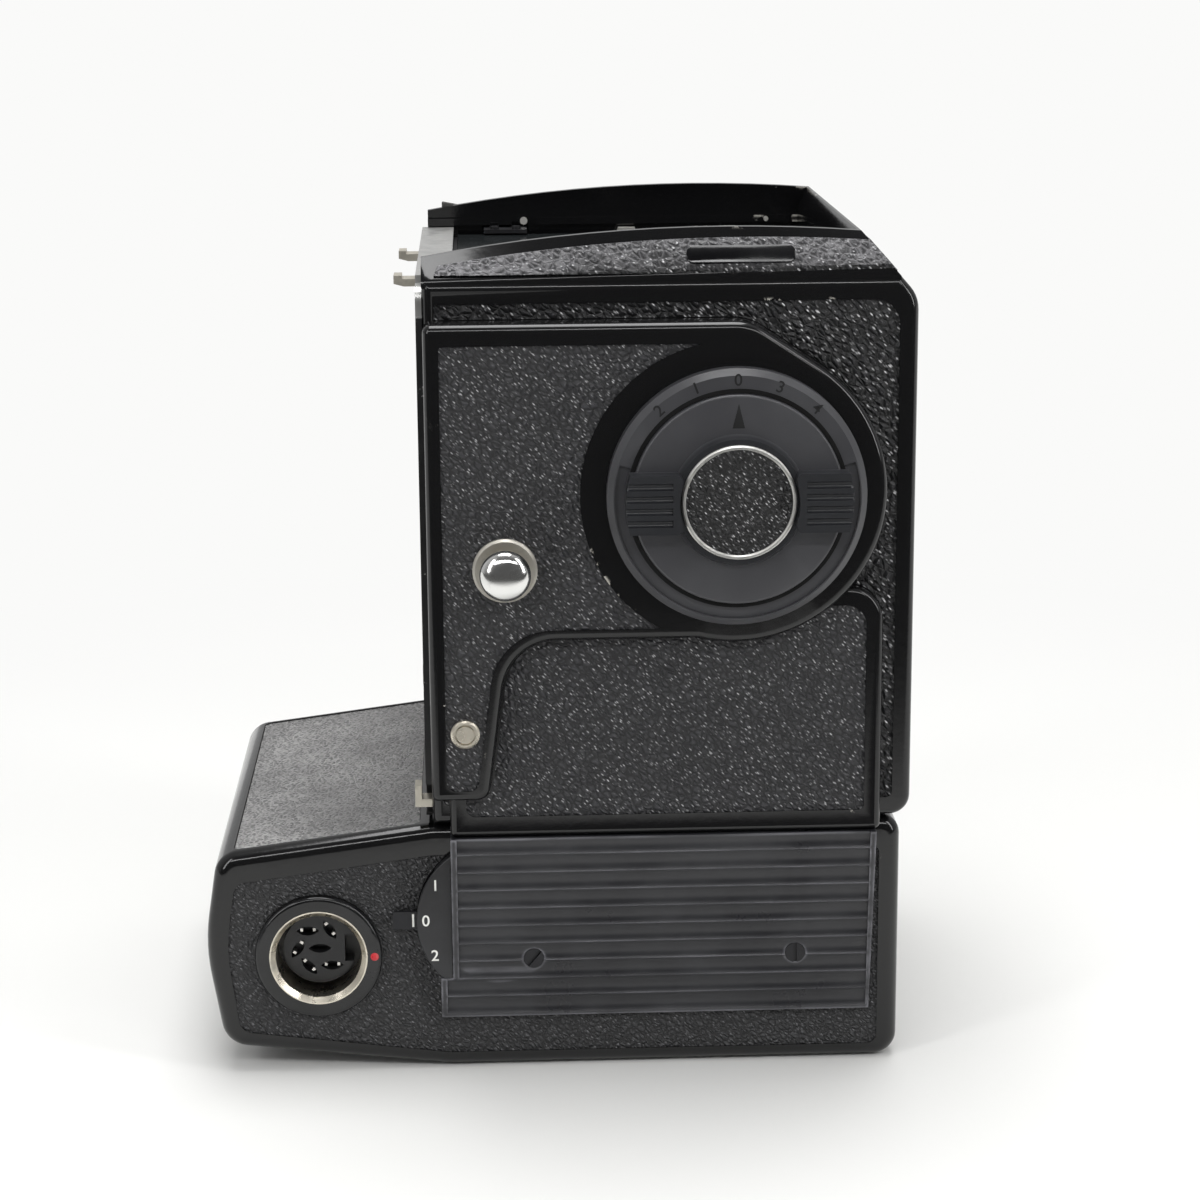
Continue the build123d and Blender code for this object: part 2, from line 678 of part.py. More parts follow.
with BuildPart() as magazine_gear:
    with BuildSketch(Plane.YZ.offset(seat_x + 0.1)):
        with Locations(counter_centre):
            Circle(magazine_gear_r)
            Circle(counter_r, mode=Mode.SUBTRACT)
            with PolarLocations(magazine_gear_r, magazine_gear_teeth):
                Circle(0.62, mode=Mode.SUBTRACT)
    extrude(amount=magazine_gear_width)
pieces["magazine_gear"] = magazine_gear

bracket_x = 24.6            # motor bracket, which carries the transfer gear too
bracket_t = 1.8
with BuildPart() as transfer_gear:
    add(extrude(gear_sketch(transfer_centre, transfer_teeth, transfer_phase).sketch,
                amount=tooth_width, mode=Mode.PRIVATE))
    with BuildSketch(Plane.YZ.offset(bracket_x + 0.2)):
        with Locations(transfer_centre):
            Circle(1.2)
    extrude(amount=tooth_x + tooth_width + 0.8 - bracket_x - 0.2)
pieces["transfer_gear"] = transfer_gear

motor_r = 10.4
motor_rear = -14.0
motor_wall = 1.4
magnet_t = 1.8
motor_shaft_r = 1.0
rotor_r = motor_r - motor_wall - magnet_t - slip
rotor_gap = 3.0             # between the rotor's ends and the can
with BuildPart() as motor_pinion:
    add(extrude(gear_sketch(pinion_centre, pinion_teeth, pinion_phase).sketch,
                amount=tooth_width, mode=Mode.PRIVATE))
    with BuildSketch(Plane.YZ.offset(motor_rear + 0.4)):
        with Locations(pinion_centre):
            Circle(motor_shaft_r)
    extrude(amount=tooth_x + tooth_width - motor_rear - 0.4)
    with BuildSketch(Plane.YZ.offset(motor_rear + motor_wall + rotor_gap)):
        with Locations(pinion_centre):
            Circle(rotor_r)
            with PolarLocations(rotor_r, 5):
                Circle(1.0, mode=Mode.SUBTRACT)
    extrude(amount=bracket_x - motor_rear - 2 * motor_wall - 2 * rotor_gap)
pieces["motor_pinion"] = motor_pinion


# Mirror chamber: open trough between rear frame and front plate
chamber_floor = 50.0
chamber_floor_t = 1.4
chamber_rear = plug_front + 0.2
chamber_front = 27.0
flange_to_film = 74.9
matte_z = screen_frame_z + frame_t  # focusing side of the screen
mirror_pin_x = -31.0
mirror_pin_z = chamber_top - 1.7
mirror_pin_r = 0.9
flap_x = -31.6
flap_pin_r = 0.5
flap_upper_z = 107.4
flap_lower_z = 51.0
with BuildPart() as mirror_chamber:
    with BuildSketch(Plane.YZ.offset(chamber_rear)):
        chamber_low = chamber_floor - chamber_floor_t
        with Locations((0, (chamber_low + chamber_top) / 2)):
            Rectangle(2 * (chamber_half + chamber_wall), chamber_top - chamber_low)
        with Locations((0, (chamber_floor + chamber_top + 2) / 2)):
            Rectangle(2 * chamber_half, chamber_top + 2 - chamber_floor, mode=Mode.SUBTRACT)
    extrude(amount=chamber_front - chamber_rear)
    with BuildSketch(Plane.YZ.offset(bearing_x - 0.8)):
        with Locations((lens_shaft_y, (chamber_floor + lens_shaft_z + 3.2) / 2)):
            Rectangle(8, lens_shaft_z + 3.2 - chamber_floor)
    extrude(amount=chamber_front - bearing_x + 0.8)
    with BuildSketch(Plane.YZ.offset(bearing_x - 0.8)):
        with Locations(lens_centre):
            Circle(1.8 + shaft_fit)
    extrude(amount=chamber_front - bearing_x + 0.8, mode=Mode.SUBTRACT)
    pin_holes = (
        (mirror_pin_x, mirror_pin_z, mirror_pin_r + shaft_fit),
        (flap_x, flap_upper_z, flap_pin_r + shaft_fit),
        (flap_x, flap_lower_z, flap_pin_r + shaft_fit),
    )
    for x, z, r in pin_holes:
        with BuildSketch(Plane.XZ.offset(-chamber_half - chamber_wall)):
            with Locations((x, z)):
                Circle(r)
        extrude(amount=2 * (chamber_half + chamber_wall), mode=Mode.SUBTRACT)
pieces["mirror_chamber"] = mirror_chamber

# Mirror at 45 degrees. Its surface meets the lens axis where both light paths are equally long.
mirror_offset = (mirror_pin_x + mirror_pin_z - axis_z - (flange_x + matte_z - axis_z - flange_to_film))
mirror_depth = mirror_offset / 2 ** 0.5     # how far the surface lies behind its pin
mirror_start = 8.8
mirror_end = 61.0
glass_t = 1.5
mirror_back = 0.9
mirror_half = chamber_half - 1.6
mirror_plane = Plane((mirror_pin_x, 0, mirror_pin_z), x_dir=(1, 0, -1), z_dir=(0, -1, 0))
with BuildPart() as mirror_frame:
    with BuildSketch(mirror_plane.offset(-mirror_half)):
        with Locations(((mirror_start + mirror_end) / 2, -mirror_depth - glass_t - mirror_back / 2)):
            Rectangle(mirror_end - mirror_start, mirror_back)
    extrude(amount=2 * mirror_half)
    for side in (1, -1):
        with BuildSketch(mirror_plane.offset(side * mirror_half)):
            with BuildLine():
                Polyline(
                    (-1.0, -1.0), (10.5, -mirror_depth - glass_t - mirror_back),
                    (15, -mirror_depth - glass_t - mirror_back), (15, -mirror_depth), (1.1, 0.9),
                    close=True,
                )
            make_face()
            Circle(1.4)
        extrude(amount=-side * 1.8)
        with BuildSketch(mirror_plane.offset(side * mirror_half)):
            Circle(mirror_pin_r)
        extrude(amount=side * (chamber_half + chamber_wall - 0.4 - mirror_half))
pieces["mirror_frame"] = mirror_frame
with BuildPart() as mirror_glass:
    with BuildSketch(mirror_plane.offset(-mirror_half + 2.0)):
        with Locations(((mirror_start + mirror_end) / 2 + 0.5, -mirror_depth - glass_t / 2)):
            Rectangle(mirror_end - mirror_start - 1.4, glass_t)
    extrude(amount=2 * mirror_half - 4.0)
pieces["mirror_glass"] = mirror_glass
# Two flaps close the film gate behind the mirror and fold up and down as it rises
flap_half = chamber_half - 1.6
flap_t = 0.8


def shutter_flap(hinge_z, end_z):
    """Thin flap with a rolled barrel and two pins."""
    with BuildPart() as flap:
        with BuildSketch(Plane.XZ.offset(-flap_half)):
            with Locations((flap_x, (hinge_z + end_z) / 2)):
                Rectangle(flap_t, abs(end_z - hinge_z))
            with Locations((flap_x, hinge_z)):
                Circle(0.7)
        extrude(amount=2 * flap_half)
        with BuildSketch(Plane.XZ.offset(-chamber_half - 1.6)):
            with Locations((flap_x, hinge_z)):
                Circle(flap_pin_r)
        extrude(amount=2 * (chamber_half + 1.6))
    return flap


pieces["flap_upper"] = shutter_flap(flap_upper_z, axis_z + 0.3)
pieces["flap_lower"] = shutter_flap(flap_lower_z, axis_z - 0.2)

# Focusing screen in its frame, held by two sliding catches under the rails
screen_x = (slot_rear + slot_front) / 2
screen_width = 2 * (slot_half - 3.2)
with BuildPart() as screen_frame:
    with BuildSketch(Plane.XY.offset(screen_frame_z)):
        with Locations((screen_x, 0)):
            Rectangle(slot_front - slot_rear - 2 * seat_gap, 2 * (slot_half - seat_gap))
            Rectangle(screen_length - 3, screen_width - 3, mode=Mode.SUBTRACT)
    extrude(amount=frame_t)
    with BuildSketch(Plane.XY.offset(screen_frame_z + frame_t)):
        with Locations((screen_x, 0)):
            Rectangle(slot_front - slot_rear - 2 * seat_gap, 2 * (slot_half - seat_gap))
            Rectangle(screen_length + 0.2, screen_width + 0.2, mode=Mode.SUBTRACT)
    extrude(amount=frame_rim)
pieces["screen_frame"] = screen_frame
with BuildPart() as focusing_screen:
    with BuildSketch(Plane.XY.offset(screen_frame_z + frame_t)):
        with Locations((screen_x, 0)):
            Rectangle(screen_length, screen_width)
    extrude(amount=screen_t)
pieces["focusing_screen"] = focusing_screen

# Rivets and studs on the finder walls, and a leaf spring on each side of the screen
spring_x = -2.3
spring_half = 1.95
spring_t = 0.3
with BuildPart() as finder_studs:
    for side in (1, -1):
        with BuildSketch(Plane.XZ.offset(side * slot_half)):
            with Locations((rivet_x, rivet_z)):
                Circle(rivet_r)
        extrude(amount=-side * 0.9)
        with BuildSketch(Plane.XZ.offset(side * rail_half)):
            with Locations((20.7, rivet_z)):
                Circle(0.4)
        extrude(amount=-side * 0.4)
        spring_foot = screen_frame_z + frame_t + frame_rim
        with BuildSketch(Plane.XZ.offset(side * (rail_half - slip))):
            with BuildLine():
                Polyline(
                    (spring_x - spring_half, spring_foot), (spring_x - spring_half + 0.6, rail_low - 0.5),
                    (spring_x + spring_half - 0.6, rail_low - 0.5), (spring_x + spring_half, spring_foot),
                    (spring_x + spring_half - spring_t, spring_foot),
                    (spring_x + spring_half - 0.6 - spring_t, rail_low - 0.5 - spring_t),
                    (spring_x - spring_half + 0.6 + spring_t, rail_low - 0.5 - spring_t),
                    (spring_x - spring_half + spring_t, spring_foot), close=True,
                )
            make_face()
        extrude(amount=-side * 1.5)
pieces["finder_studs"] = finder_studs
for side, name in ((1, "screen_catch_right"), (-1, "screen_catch_left")):
    with BuildPart() as screen_catch:
        with BuildSketch(Plane.XY.offset(catch_z)):
            with Locations((catch_x, -side * (catch_half + catch_reach) / 2)):
                Rectangle(catch_length, catch_reach - catch_half)
        extrude(amount=catch_t)
        with BuildSketch(Plane.XY.offset(catch_z)):
            stud_y = -side * (catch_half + 1.0)
            with Locations((catch_x - 1.75, stud_y), (catch_x + 1.75, stud_y)):
                Circle(catch_stud_r)
        extrude(amount=rail_low + 0.1 - catch_z)
    pieces[name] = screen_catch

# Front plate, bayonet and what works through them
plate_rear = 31.5
plate_front = 34.4
ring_seat = 33.0
bayonet_r = tunnel_half - 2.1
bayonet_bore = bayonet_r - 3.9
claw_r = bayonet_bore - 1.8
claw_t = 1.2
throat_r = bayonet_bore - 1.0
lock_at = (-(tunnel_half - 5.6), axis_z - 27.0)
lock_angle = 223.0
pin_at = turned(0, axis_z, (bayonet_r + bayonet_bore) / 2, lock_angle)
button_r = 3.2
lock_pin_r = 1.2
with BuildPart() as front_plate:
    with BuildSketch(Plane.YZ.offset(plate_rear)):
        with Locations((0, (tunnel_bottom + front_opening_top) / 2)):
            plate_height = front_opening_top - tunnel_bottom - 2 * seat_gap
            RectangleRounded(2 * (tunnel_half - seat_gap), plate_height, 3.0 - seat_gap)
    extrude(amount=plate_front - plate_rear)
    with BuildSketch(Plane.YZ.offset(ring_seat)):
        with Locations((0, axis_z)):
            Circle(bayonet_r + seat_gap)
    extrude(amount=plate_front - ring_seat, mode=Mode.SUBTRACT)
    with BuildSketch(Plane.YZ.offset(plate_rear)):
        with Locations((0, axis_z + 2.8)):
            RectangleRounded(2 * throat_r - 3.2, 44.6, 5)
        with Locations((0, axis_z)):
            Circle(throat_r, mode=Mode.INTERSECT)
    extrude(amount=plate_front - plate_rear, mode=Mode.SUBTRACT)
    for centre, r in ((lens_centre, 2.6), (lock_at, button_r), (pin_at, lock_pin_r)):
        with BuildSketch(Plane.YZ.offset(plate_rear)):
            with Locations(centre):
                Circle(r + shaft_fit)
        extrude(amount=plate_front - plate_rear, mode=Mode.SUBTRACT)
pieces["front_plate"] = front_plate

with BuildPart() as front_leather:
    with BuildSketch(Plane.YZ.offset(plate_front)):
        with Locations((0, (tunnel_bottom + front_opening_top) / 2)):
            RectangleRounded(2 * tunnel_half - 1.6, front_opening_top - tunnel_bottom - 1.6, 2.4)
        with Locations((0, axis_z)):
            Circle(bayonet_r + 0.5, mode=Mode.SUBTRACT)
        with Locations(lock_at):
            Circle(button_r + 0.4, mode=Mode.SUBTRACT)
    extrude(amount=skin)
pieces["front_leather"] = front_leather

with BuildPart() as bayonet_ring:
    with BuildSketch(Plane.YZ.offset(ring_seat)):
        with Locations((0, axis_z)):
            Circle(bayonet_r)
            Circle(bayonet_bore, mode=Mode.SUBTRACT)
    extrude(amount=flange_x - ring_seat)
    for k in range(3):
        with BuildSketch(Plane.YZ.offset(flange_x - claw_t)):
            with BuildLine():
                start, end = 65 + 120 * k, 115 + 120 * k
                CenterArc((0, axis_z), claw_r, start, end - start)
                CenterArc((0, axis_z), bayonet_bore + 0.2, start, end - start)
                Line(turned(0, axis_z, claw_r, start), turned(0, axis_z, bayonet_bore + 0.2, start))
                Line(turned(0, axis_z, claw_r, end), turned(0, axis_z, bayonet_bore + 0.2, end))
            make_face()
        extrude(amount=claw_t)
    with BuildSketch(Plane.YZ.offset(ring_seat)):
        with Locations(pin_at):
            Circle(lock_pin_r + shaft_fit)
    extrude(amount=flange_x - ring_seat, mode=Mode.SUBTRACT)
pieces["bayonet_ring"] = bayonet_ring

with BuildPart() as lens_release_button:
    with BuildSketch(Plane.YZ.offset(plate_rear - 1.3)):
        with Locations(lock_at):
            Circle(button_r + 0.8)
    extrude(amount=1.0)
    with BuildSketch(Plane.YZ.offset(plate_rear - 1.3)):
        with Locations(lock_at):
            Circle(button_r)
    extrude(amount=flange_x - plate_rear + 1.2)
    fillet(lens_release_button.edges().filter_by(GeomType.CIRCLE).sort_by(Axis.X)[-1], 0.5)
pieces["lens_release_button"] = lens_release_button
with BuildPart() as lens_lock_pin:
    with BuildSketch(Plane.YZ.offset(plate_rear - 2.0)):
        with Locations(pin_at):
            Circle(lock_pin_r)
    extrude(amount=rim_x - plate_rear + 2.0)
    chamfer(lens_lock_pin.edges().filter_by(GeomType.CIRCLE).sort_by(Axis.X)[-1], 0.3)
pieces["lens_lock_pin"] = lens_lock_pin

# Hooks and supports that hold the film magazine. Each stands in a notch of the rear plate.
with BuildPart() as magazine_hooks:
    for side in (1, -1):
        with BuildSketch(Plane.XZ.offset(side * hook_y - hook_half)):
            with BuildLine():
                Polyline(
                    (shell_rear, hook_z - 0.6), (shell_rear, hook_z + 0.5), (seat_x - 2.3, hook_z + 0.5),
                    (seat_x - 2.3, hook_z + 1.0), (seat_x - 3.5, hook_z + 1.0),
                    (seat_x - 3.5, hook_z - 0.2), (seat_x - 2.0, hook_z - 0.6), close=True,
                )
            make_face()
        extrude(amount=2 * hook_half)
pieces["magazine_hooks"] = magazine_hooks
with BuildPart() as magazine_supports:
    for side in (1, -1):
        with BuildSketch(Plane.XZ.offset(side * support_y - support_half)):
            with BuildLine():
                Polyline(
                    (shell_rear, support_z - 0.7), (shell_rear, support_z + 0.5),
                    (seat_x - 0.6, support_z + 0.5), (seat_x - 0.6, support_z + 2.6),
                    (seat_x - 1.6, support_z + 2.6), (seat_x - 1.6, support_z - 0.7), close=True,
                )
            make_face()
        extrude(amount=2 * support_half)
pieces["magazine_supports"] = magazine_supports

# Accessory rail on the left side
rail_z = 50.0
with BuildPart() as accessory_rail:
    rail_seat = body_half - skin_pocket + skin
    with BuildSketch(Plane.XZ.offset(-rail_seat)):
        with Locations((-1, rail_z)):
            RectangleRounded(54, 7.0, 1.0)
    extrude(amount=-1.4)
    with BuildSketch(Plane.XZ.offset(-rail_seat - 1.4)):
        with Locations((-1, rail_z)):
            RectangleRounded(54, 10.0, 1.0)
            with GridLocations(22, 0, 3, 1):
                Circle(1.4, mode=Mode.SUBTRACT)
    extrude(amount=-1.6)
pieces["accessory_rail"] = accessory_rail

# Motor base: housing with a flat foot, a rising rear bottom and a top that falls to the rear
base_corners = [
    (base_front, base_bottom), (base_front, base_top), (base_step, base_top),
    (-66.9, 34.3), (base_rear, 20.0), (-66.6, 4.2), (-33.0, base_bottom),
]
base_radii = [3.4, 3.0, 10.0, 4.0, 30.0, 4.2, 14.0]
with BuildSketch() as base_outline:
    rounded(base_corners, base_radii)

grip_left = -32.2
grip_right = 30.6
grip_foot_left = -34.0
grip_top = panel_bottom - seat_gap
grip_bottom = 8.6
grip_step = 15.0
lobe_x = -25.1
lobe_z = 24.0
lobe_r = 12.4
lobe_rise = 1.6
tongue_r = 9.6              # part of the lobe plate that lies under the grip plate
tongue_rise = 0.8
lever_r = 10.2
lever_reach = 15.9
lever_half = 1.35
lever_throw = 30.0
lever_rest = 180.0          # direction of the lever's tab in the middle position
lever_t = 0.7
tab_low = slip              # the tab runs this far above the base's side
tab_high = 0.8
socket_x = -52.2
socket_z = 18.45
socket_ring_r = 9.5
socket_shell_r = 7.3
socket_bore = 6.4
with BuildSketch() as grip_outline:
    with BuildLine():
        Polyline(
            (grip_left, grip_top), (grip_right, grip_top), (grip_right - 0.4, grip_bottom),
            (grip_foot_left, grip_bottom), (grip_foot_left, grip_step), (grip_left, grip_step),
            close=True,
        )
    make_face()
with BuildSketch() as base_field:
    # The leather lies this far inside each corner of the base
    field_inset = [(-3.2, 2.2), (-3.2, -4.5), (0, -4.5), (2.6, -4.3), (3.3, 0), (2.4, 2.4), (0, 2.3)]
    field_corners = [(c[0] + i[0], c[1] + i[1]) for c, i in zip(base_corners, field_inset)]
    rounded(field_corners, [1.5, 1.0, 10.0, 2.0, 30.0, 2.2, 14.0])
with BuildSketch() as base_leather_outline:
    add(base_field.sketch)
    offset(grip_outline.sketch, amount=seat_gap, kind=Kind.INTERSECTION, mode=Mode.SUBTRACT)
    with Locations((lobe_x, lobe_z)):
        Circle(lobe_r + seat_gap, mode=Mode.SUBTRACT)
    with Locations((socket_x, socket_z)):
        Circle(socket_ring_r + seat_gap, mode=Mode.SUBTRACT)

door_points = [(-64.4, 6.0), (-19.5, 5.0), (-19.5, 34.4), (-61.0, 32.6), (-64.4, 29.0)]
door_radii = [3.0, 3.0, 3.0, 3.0, 6.0]
with BuildSketch() as door_outline:
    rounded(door_points, door_radii)
with BuildSketch() as base_leather_left_outline:
    add(base_field.sketch)
    offset(door_outline.sketch, amount=1.6, mode=Mode.SUBTRACT)
    with Locations((-80, 20)):
        Rectangle(60, 60, mode=Mode.SUBTRACT)

port_y = 14.0
port_z = 22.0
port_r = 7.0
floor_x = (-27.0, 24.0)
floor_half = base_half - 8.0
base_edge_r = 2.0
top_field = 28.0            # leather on the part of the top that falls to the rear
top_margin = 2.3
top_angle = 7.33            # fall of the base top towards the rear
top_plane = Plane((-50.6, 0, 36.4), x_dir=(cos(radians(top_angle)), 0, sin(radians(top_angle))),
                  z_dir=(-sin(radians(top_angle)), 0, cos(radians(top_angle))))
with BuildPart() as base_housing:
    with BuildSketch(Plane.XZ.offset(-base_half)):
        add(base_outline.sketch)
    extrude(amount=2 * base_half)
    fillet(base_housing.faces().filter_by(Axis.Y).edges(), base_edge_r)
    with BuildSketch(Plane.XZ.offset(-(base_half - base_wall))):
        offset(base_outline.sketch, amount=-base_wall)
    extrude(amount=2 * (base_half - base_wall), mode=Mode.SUBTRACT)
    with BuildSketch(Plane.XZ.offset(base_half)):
        add(base_leather_outline.sketch)
    extrude(amount=-skin_pocket, mode=Mode.SUBTRACT)
    with BuildSketch(Plane.XZ.offset(-base_half)):
        add(base_leather_left_outline.sketch)
    extrude(amount=skin_pocket, mode=Mode.SUBTRACT)
    with BuildSketch(top_plane):
        RectangleRounded(top_field, 2 * (base_half - top_margin), 1.2)
    extrude(amount=-skin_pocket, mode=Mode.SUBTRACT)
    with BuildSketch(Plane.XY.offset(0)):
        with Locations((sum(floor_x) / 2, 0)):
            RectangleRounded(floor_x[1] - floor_x[0], 2 * floor_half, 3.0)
    extrude(amount=4.0, mode=Mode.SUBTRACT)
    with BuildSketch(Plane.XY.offset(base_top)):
        Rectangle(64, 2 * (base_half - base_edge_r - 0.3))
    extrude(amount=body_bottom - base_top)
    with BuildSketch(Plane.XY.offset(base_top - base_wall - 1)):
        with Locations((tooth_x + tooth_width / 2, transfer_centre[0])):
            Rectangle(tooth_width + 2 * slip, 2 * transfer_slot)
    extrude(amount=body_bottom - base_top + base_wall + 1, mode=Mode.SUBTRACT)
    with BuildSketch(Plane.YZ.offset(base_front - base_wall)):
        with Locations((port_y, port_z), (-port_y, port_z)):
            Circle(port_r)
    extrude(amount=base_wall, mode=Mode.SUBTRACT)
    with BuildSketch(Plane.XZ.offset(base_half)):
        with Locations((socket_x, socket_z)):
            Circle(socket_shell_r)
    extrude(amount=-base_wall, mode=Mode.SUBTRACT)
    with BuildSketch(Plane.XZ.offset(base_half)):
        with Locations((lobe_x, lobe_z)):
            Circle(lever_r + slip)
    extrude(amount=-lever_t - 2 * slip, mode=Mode.SUBTRACT)
    with BuildSketch(Plane.XZ.offset(-base_half)):
        offset(door_outline.sketch, amount=slip)
    extrude(amount=base_wall + 0.6, mode=Mode.SUBTRACT)
pieces["base_housing"] = base_housing

with BuildPart() as base_leather:
    with BuildSketch(Plane.XZ.offset(base_half - skin_pocket)):
        add(base_leather_outline.sketch)
    extrude(amount=skin)
    with BuildSketch(Plane.XZ.offset(-base_half + skin_pocket)):
        add(base_leather_left_outline.sketch)
    extrude(amount=-skin)
    with BuildSketch(top_plane.offset(-skin_pocket)):
        RectangleRounded(top_field - 2 * seat_gap, 2 * (base_half - top_margin - seat_gap), 1.1)
    extrude(amount=skin)
pieces["base_leather"] = base_leather

# Floor plate with a pad for the tripod and two threaded bushes
bush_depth = 8.0
small_thread_r = 3.175
large_thread_r = 4.7625
large_x = 14.5
with BuildPart() as base_floor:
    with BuildSketch(Plane.XY.offset(base_bottom)):
        with Locations((sum(floor_x) / 2, 0)):
            floor_length = floor_x[1] - floor_x[0] - 2 * seat_gap
            RectangleRounded(floor_length, 2 * (floor_half - seat_gap), 3.0 - seat_gap)
    extrude(amount=base_wall)
    with BuildSketch(Plane.XY.offset(0)):
        with Locations((0.75, 0)):
            RectangleRounded(44, 40, 2.5)
    extrude(amount=base_bottom)
    with BuildSketch(Plane.XY.offset(0)):
        with Locations((0, 0)):
            Circle(6.0)
        with Locations((large_x, 0)):
            Circle(7.2)
    extrude(amount=base_bottom + base_wall, mode=Mode.SUBTRACT)
pieces["base_floor"] = base_floor
with BuildPart() as tripod_bushes:
    for x, outer, inner in ((0, 6.0, small_thread_r), (large_x, 7.2, large_thread_r)):
        with BuildSketch(Plane.XY.offset(0)):
            with Locations((x, 0)):
                Circle(outer)
        extrude(amount=bush_depth + 1.0)
        with BuildSketch(Plane.XY.offset(0)):
            with Locations((x, 0)):
                Circle(inner)
        extrude(amount=bush_depth, mode=Mode.SUBTRACT)
pieces["tripod_bushes"] = tripod_bushes
with BuildPart() as feet:
    with BuildSketch(Plane.XY.offset(0)):
        foot_y = base_half - 5.6
        with Locations((28.4, foot_y), (28.4, -foot_y), (-30.6, foot_y), (-30.6, -foot_y)):
            Circle(2.3)
    extrude(amount=base_bottom)
pieces["feet"] = feet

# Ribbed grip plate: a wedge, thick under the lower panel and thin at its foot
grip_head = 4.2
grip_toe = 0.9
flute_count = 10
flute_top = 36.25           # middle of the highest flute
flute_pitch = 2.88          # the flutes meet in sharp ridges
flute_depth = 0.5
flute_r = 2.4
flute_margin = 0.9
grip_screw_at = [(-20.15, 17.95), (18.95, 17.95)]
grip_slope = (grip_head - grip_toe) / (grip_top - grip_bottom)
grip_hole_r = 1.55
lever_pin_r = 2.0
with BuildPart() as grip_plate:
    with BuildSketch(Plane.YZ.offset(grip_foot_left)):
        with BuildLine():
            Polyline(
                (-base_half, grip_bottom), (-base_half - grip_toe, grip_bottom),
                (-base_half - grip_head, grip_top), (-base_half, grip_top), close=True,
            )
        make_face()
    extrude(amount=grip_right - grip_foot_left)
    with BuildSketch(Plane.XZ.offset(base_half)):
        add(grip_outline.sketch)
    extrude(amount=grip_head + 1, mode=Mode.INTERSECT)
    for k in range(flute_count):
        z = flute_top - k * flute_pitch
        face_y = -base_half - grip_toe - (z - grip_bottom) * grip_slope
        start = (grip_left if z > grip_step else grip_foot_left) + flute_margin
        with BuildSketch(Plane.YZ.offset(start)):
            with Locations((face_y - flute_r + flute_depth, z)):
                Circle(flute_r)
        extrude(amount=grip_right - flute_margin - start, mode=Mode.SUBTRACT)
    with BuildSketch(Plane.XZ.offset(base_half)):
        with Locations((lobe_x, lobe_z)):
            Circle(tongue_r + seat_gap)
    extrude(amount=tongue_rise + 0.05, mode=Mode.SUBTRACT)
    with BuildSketch(Plane.XZ.offset(base_half)):
        with Locations(*grip_screw_at):
            Circle(grip_hole_r)
    extrude(amount=grip_head, mode=Mode.SUBTRACT)
pieces["grip_plate"] = grip_plate

with BuildPart() as grip_screws:
    for centre, turn in zip(grip_screw_at, (50, 92)):
        with BuildSketch(Plane.XZ.offset(base_half)):
            with Locations(centre):
                Circle(1.5)
        extrude(amount=1.7)
        with BuildSketch(Plane.XZ.offset(base_half + 1.7)):
            with Locations(Location(centre, turn)):
                Rectangle(4, 0.5)
        extrude(amount=-0.5, mode=Mode.SUBTRACT)
pieces["grip_screws"] = grip_screws

# Scale plate beside the grip. The lever turns under it and its tab comes out over the leather.
with BuildPart() as lobe_plate:
    with BuildSketch(Plane.XZ.offset(base_half)):
        with Locations((lobe_x, lobe_z)):
            Circle(tongue_r)
    extrude(amount=tongue_rise)
    with BuildSketch(Plane.XZ.offset(base_half)):
        with Locations((lobe_x, lobe_z)):
            Circle(lobe_r)
        offset(grip_outline.sketch, amount=seat_gap, kind=Kind.INTERSECTION, mode=Mode.SUBTRACT)
        with Locations((lobe_x + lobe_r, lobe_z)):
            Rectangle(2 * (lobe_x + lobe_r - grip_left), 2 * lobe_r, mode=Mode.SUBTRACT)
    extrude(amount=lobe_rise)
    fillet(lobe_plate.faces().sort_by(Axis.Y)[0].edges().filter_by(GeomType.CIRCLE), 0.3)
    with BuildSketch(Plane.XZ.offset(base_half)):
        swing = lever_throw + 9.5
        with BuildLine():
            CenterArc((lobe_x, lobe_z), lobe_r + 1.0, lever_rest - swing, 2 * swing)
            CenterArc((lobe_x, lobe_z), lever_r - 2.0, lever_rest - swing, 2 * swing)
            for angle in (lever_rest - swing, lever_rest + swing):
                Line(
                    turned(lobe_x, lobe_z, lobe_r + 1.0, angle),
                    turned(lobe_x, lobe_z, lever_r - 2.0, angle),
                )
        make_face()
    extrude(amount=tab_high + slip, mode=Mode.SUBTRACT)
    with BuildSketch(Plane.XZ.offset(base_half)):
        with Locations(grip_screw_at[0]):
            Circle(grip_hole_r)
    extrude(amount=lobe_rise, mode=Mode.SUBTRACT)
    with BuildSketch(Plane.XZ.offset(base_half - lever_t - slip)):
        with Locations((lobe_x, lobe_z)):
            Circle(lever_pin_r)
    extrude(amount=lever_t + slip)
pieces["lobe_plate"] = lobe_plate
with BuildPart() as mode_lever:
    with BuildSketch(Plane.XZ.offset(base_half - lever_t - slip)):
        with Locations((lobe_x, lobe_z)):
            Circle(lever_r)
            Circle(lever_pin_r + shaft_fit, mode=Mode.SUBTRACT)
    extrude(amount=lever_t)
    for low, high, reach in ((-slip, tab_high, lever_r), (tab_low, tab_high, lever_reach)):
        with BuildSketch(Plane.XZ.offset(base_half + low)):
            tab_start = lever_r - 1.3
            tab_middle = (tab_start + reach) / 2
            with Locations(Location(turned(lobe_x, lobe_z, tab_middle, lever_rest), lever_rest)):
                Rectangle(reach - tab_start, 2 * lever_half)
        extrude(amount=high - low)
pieces["mode_lever"] = mode_lever

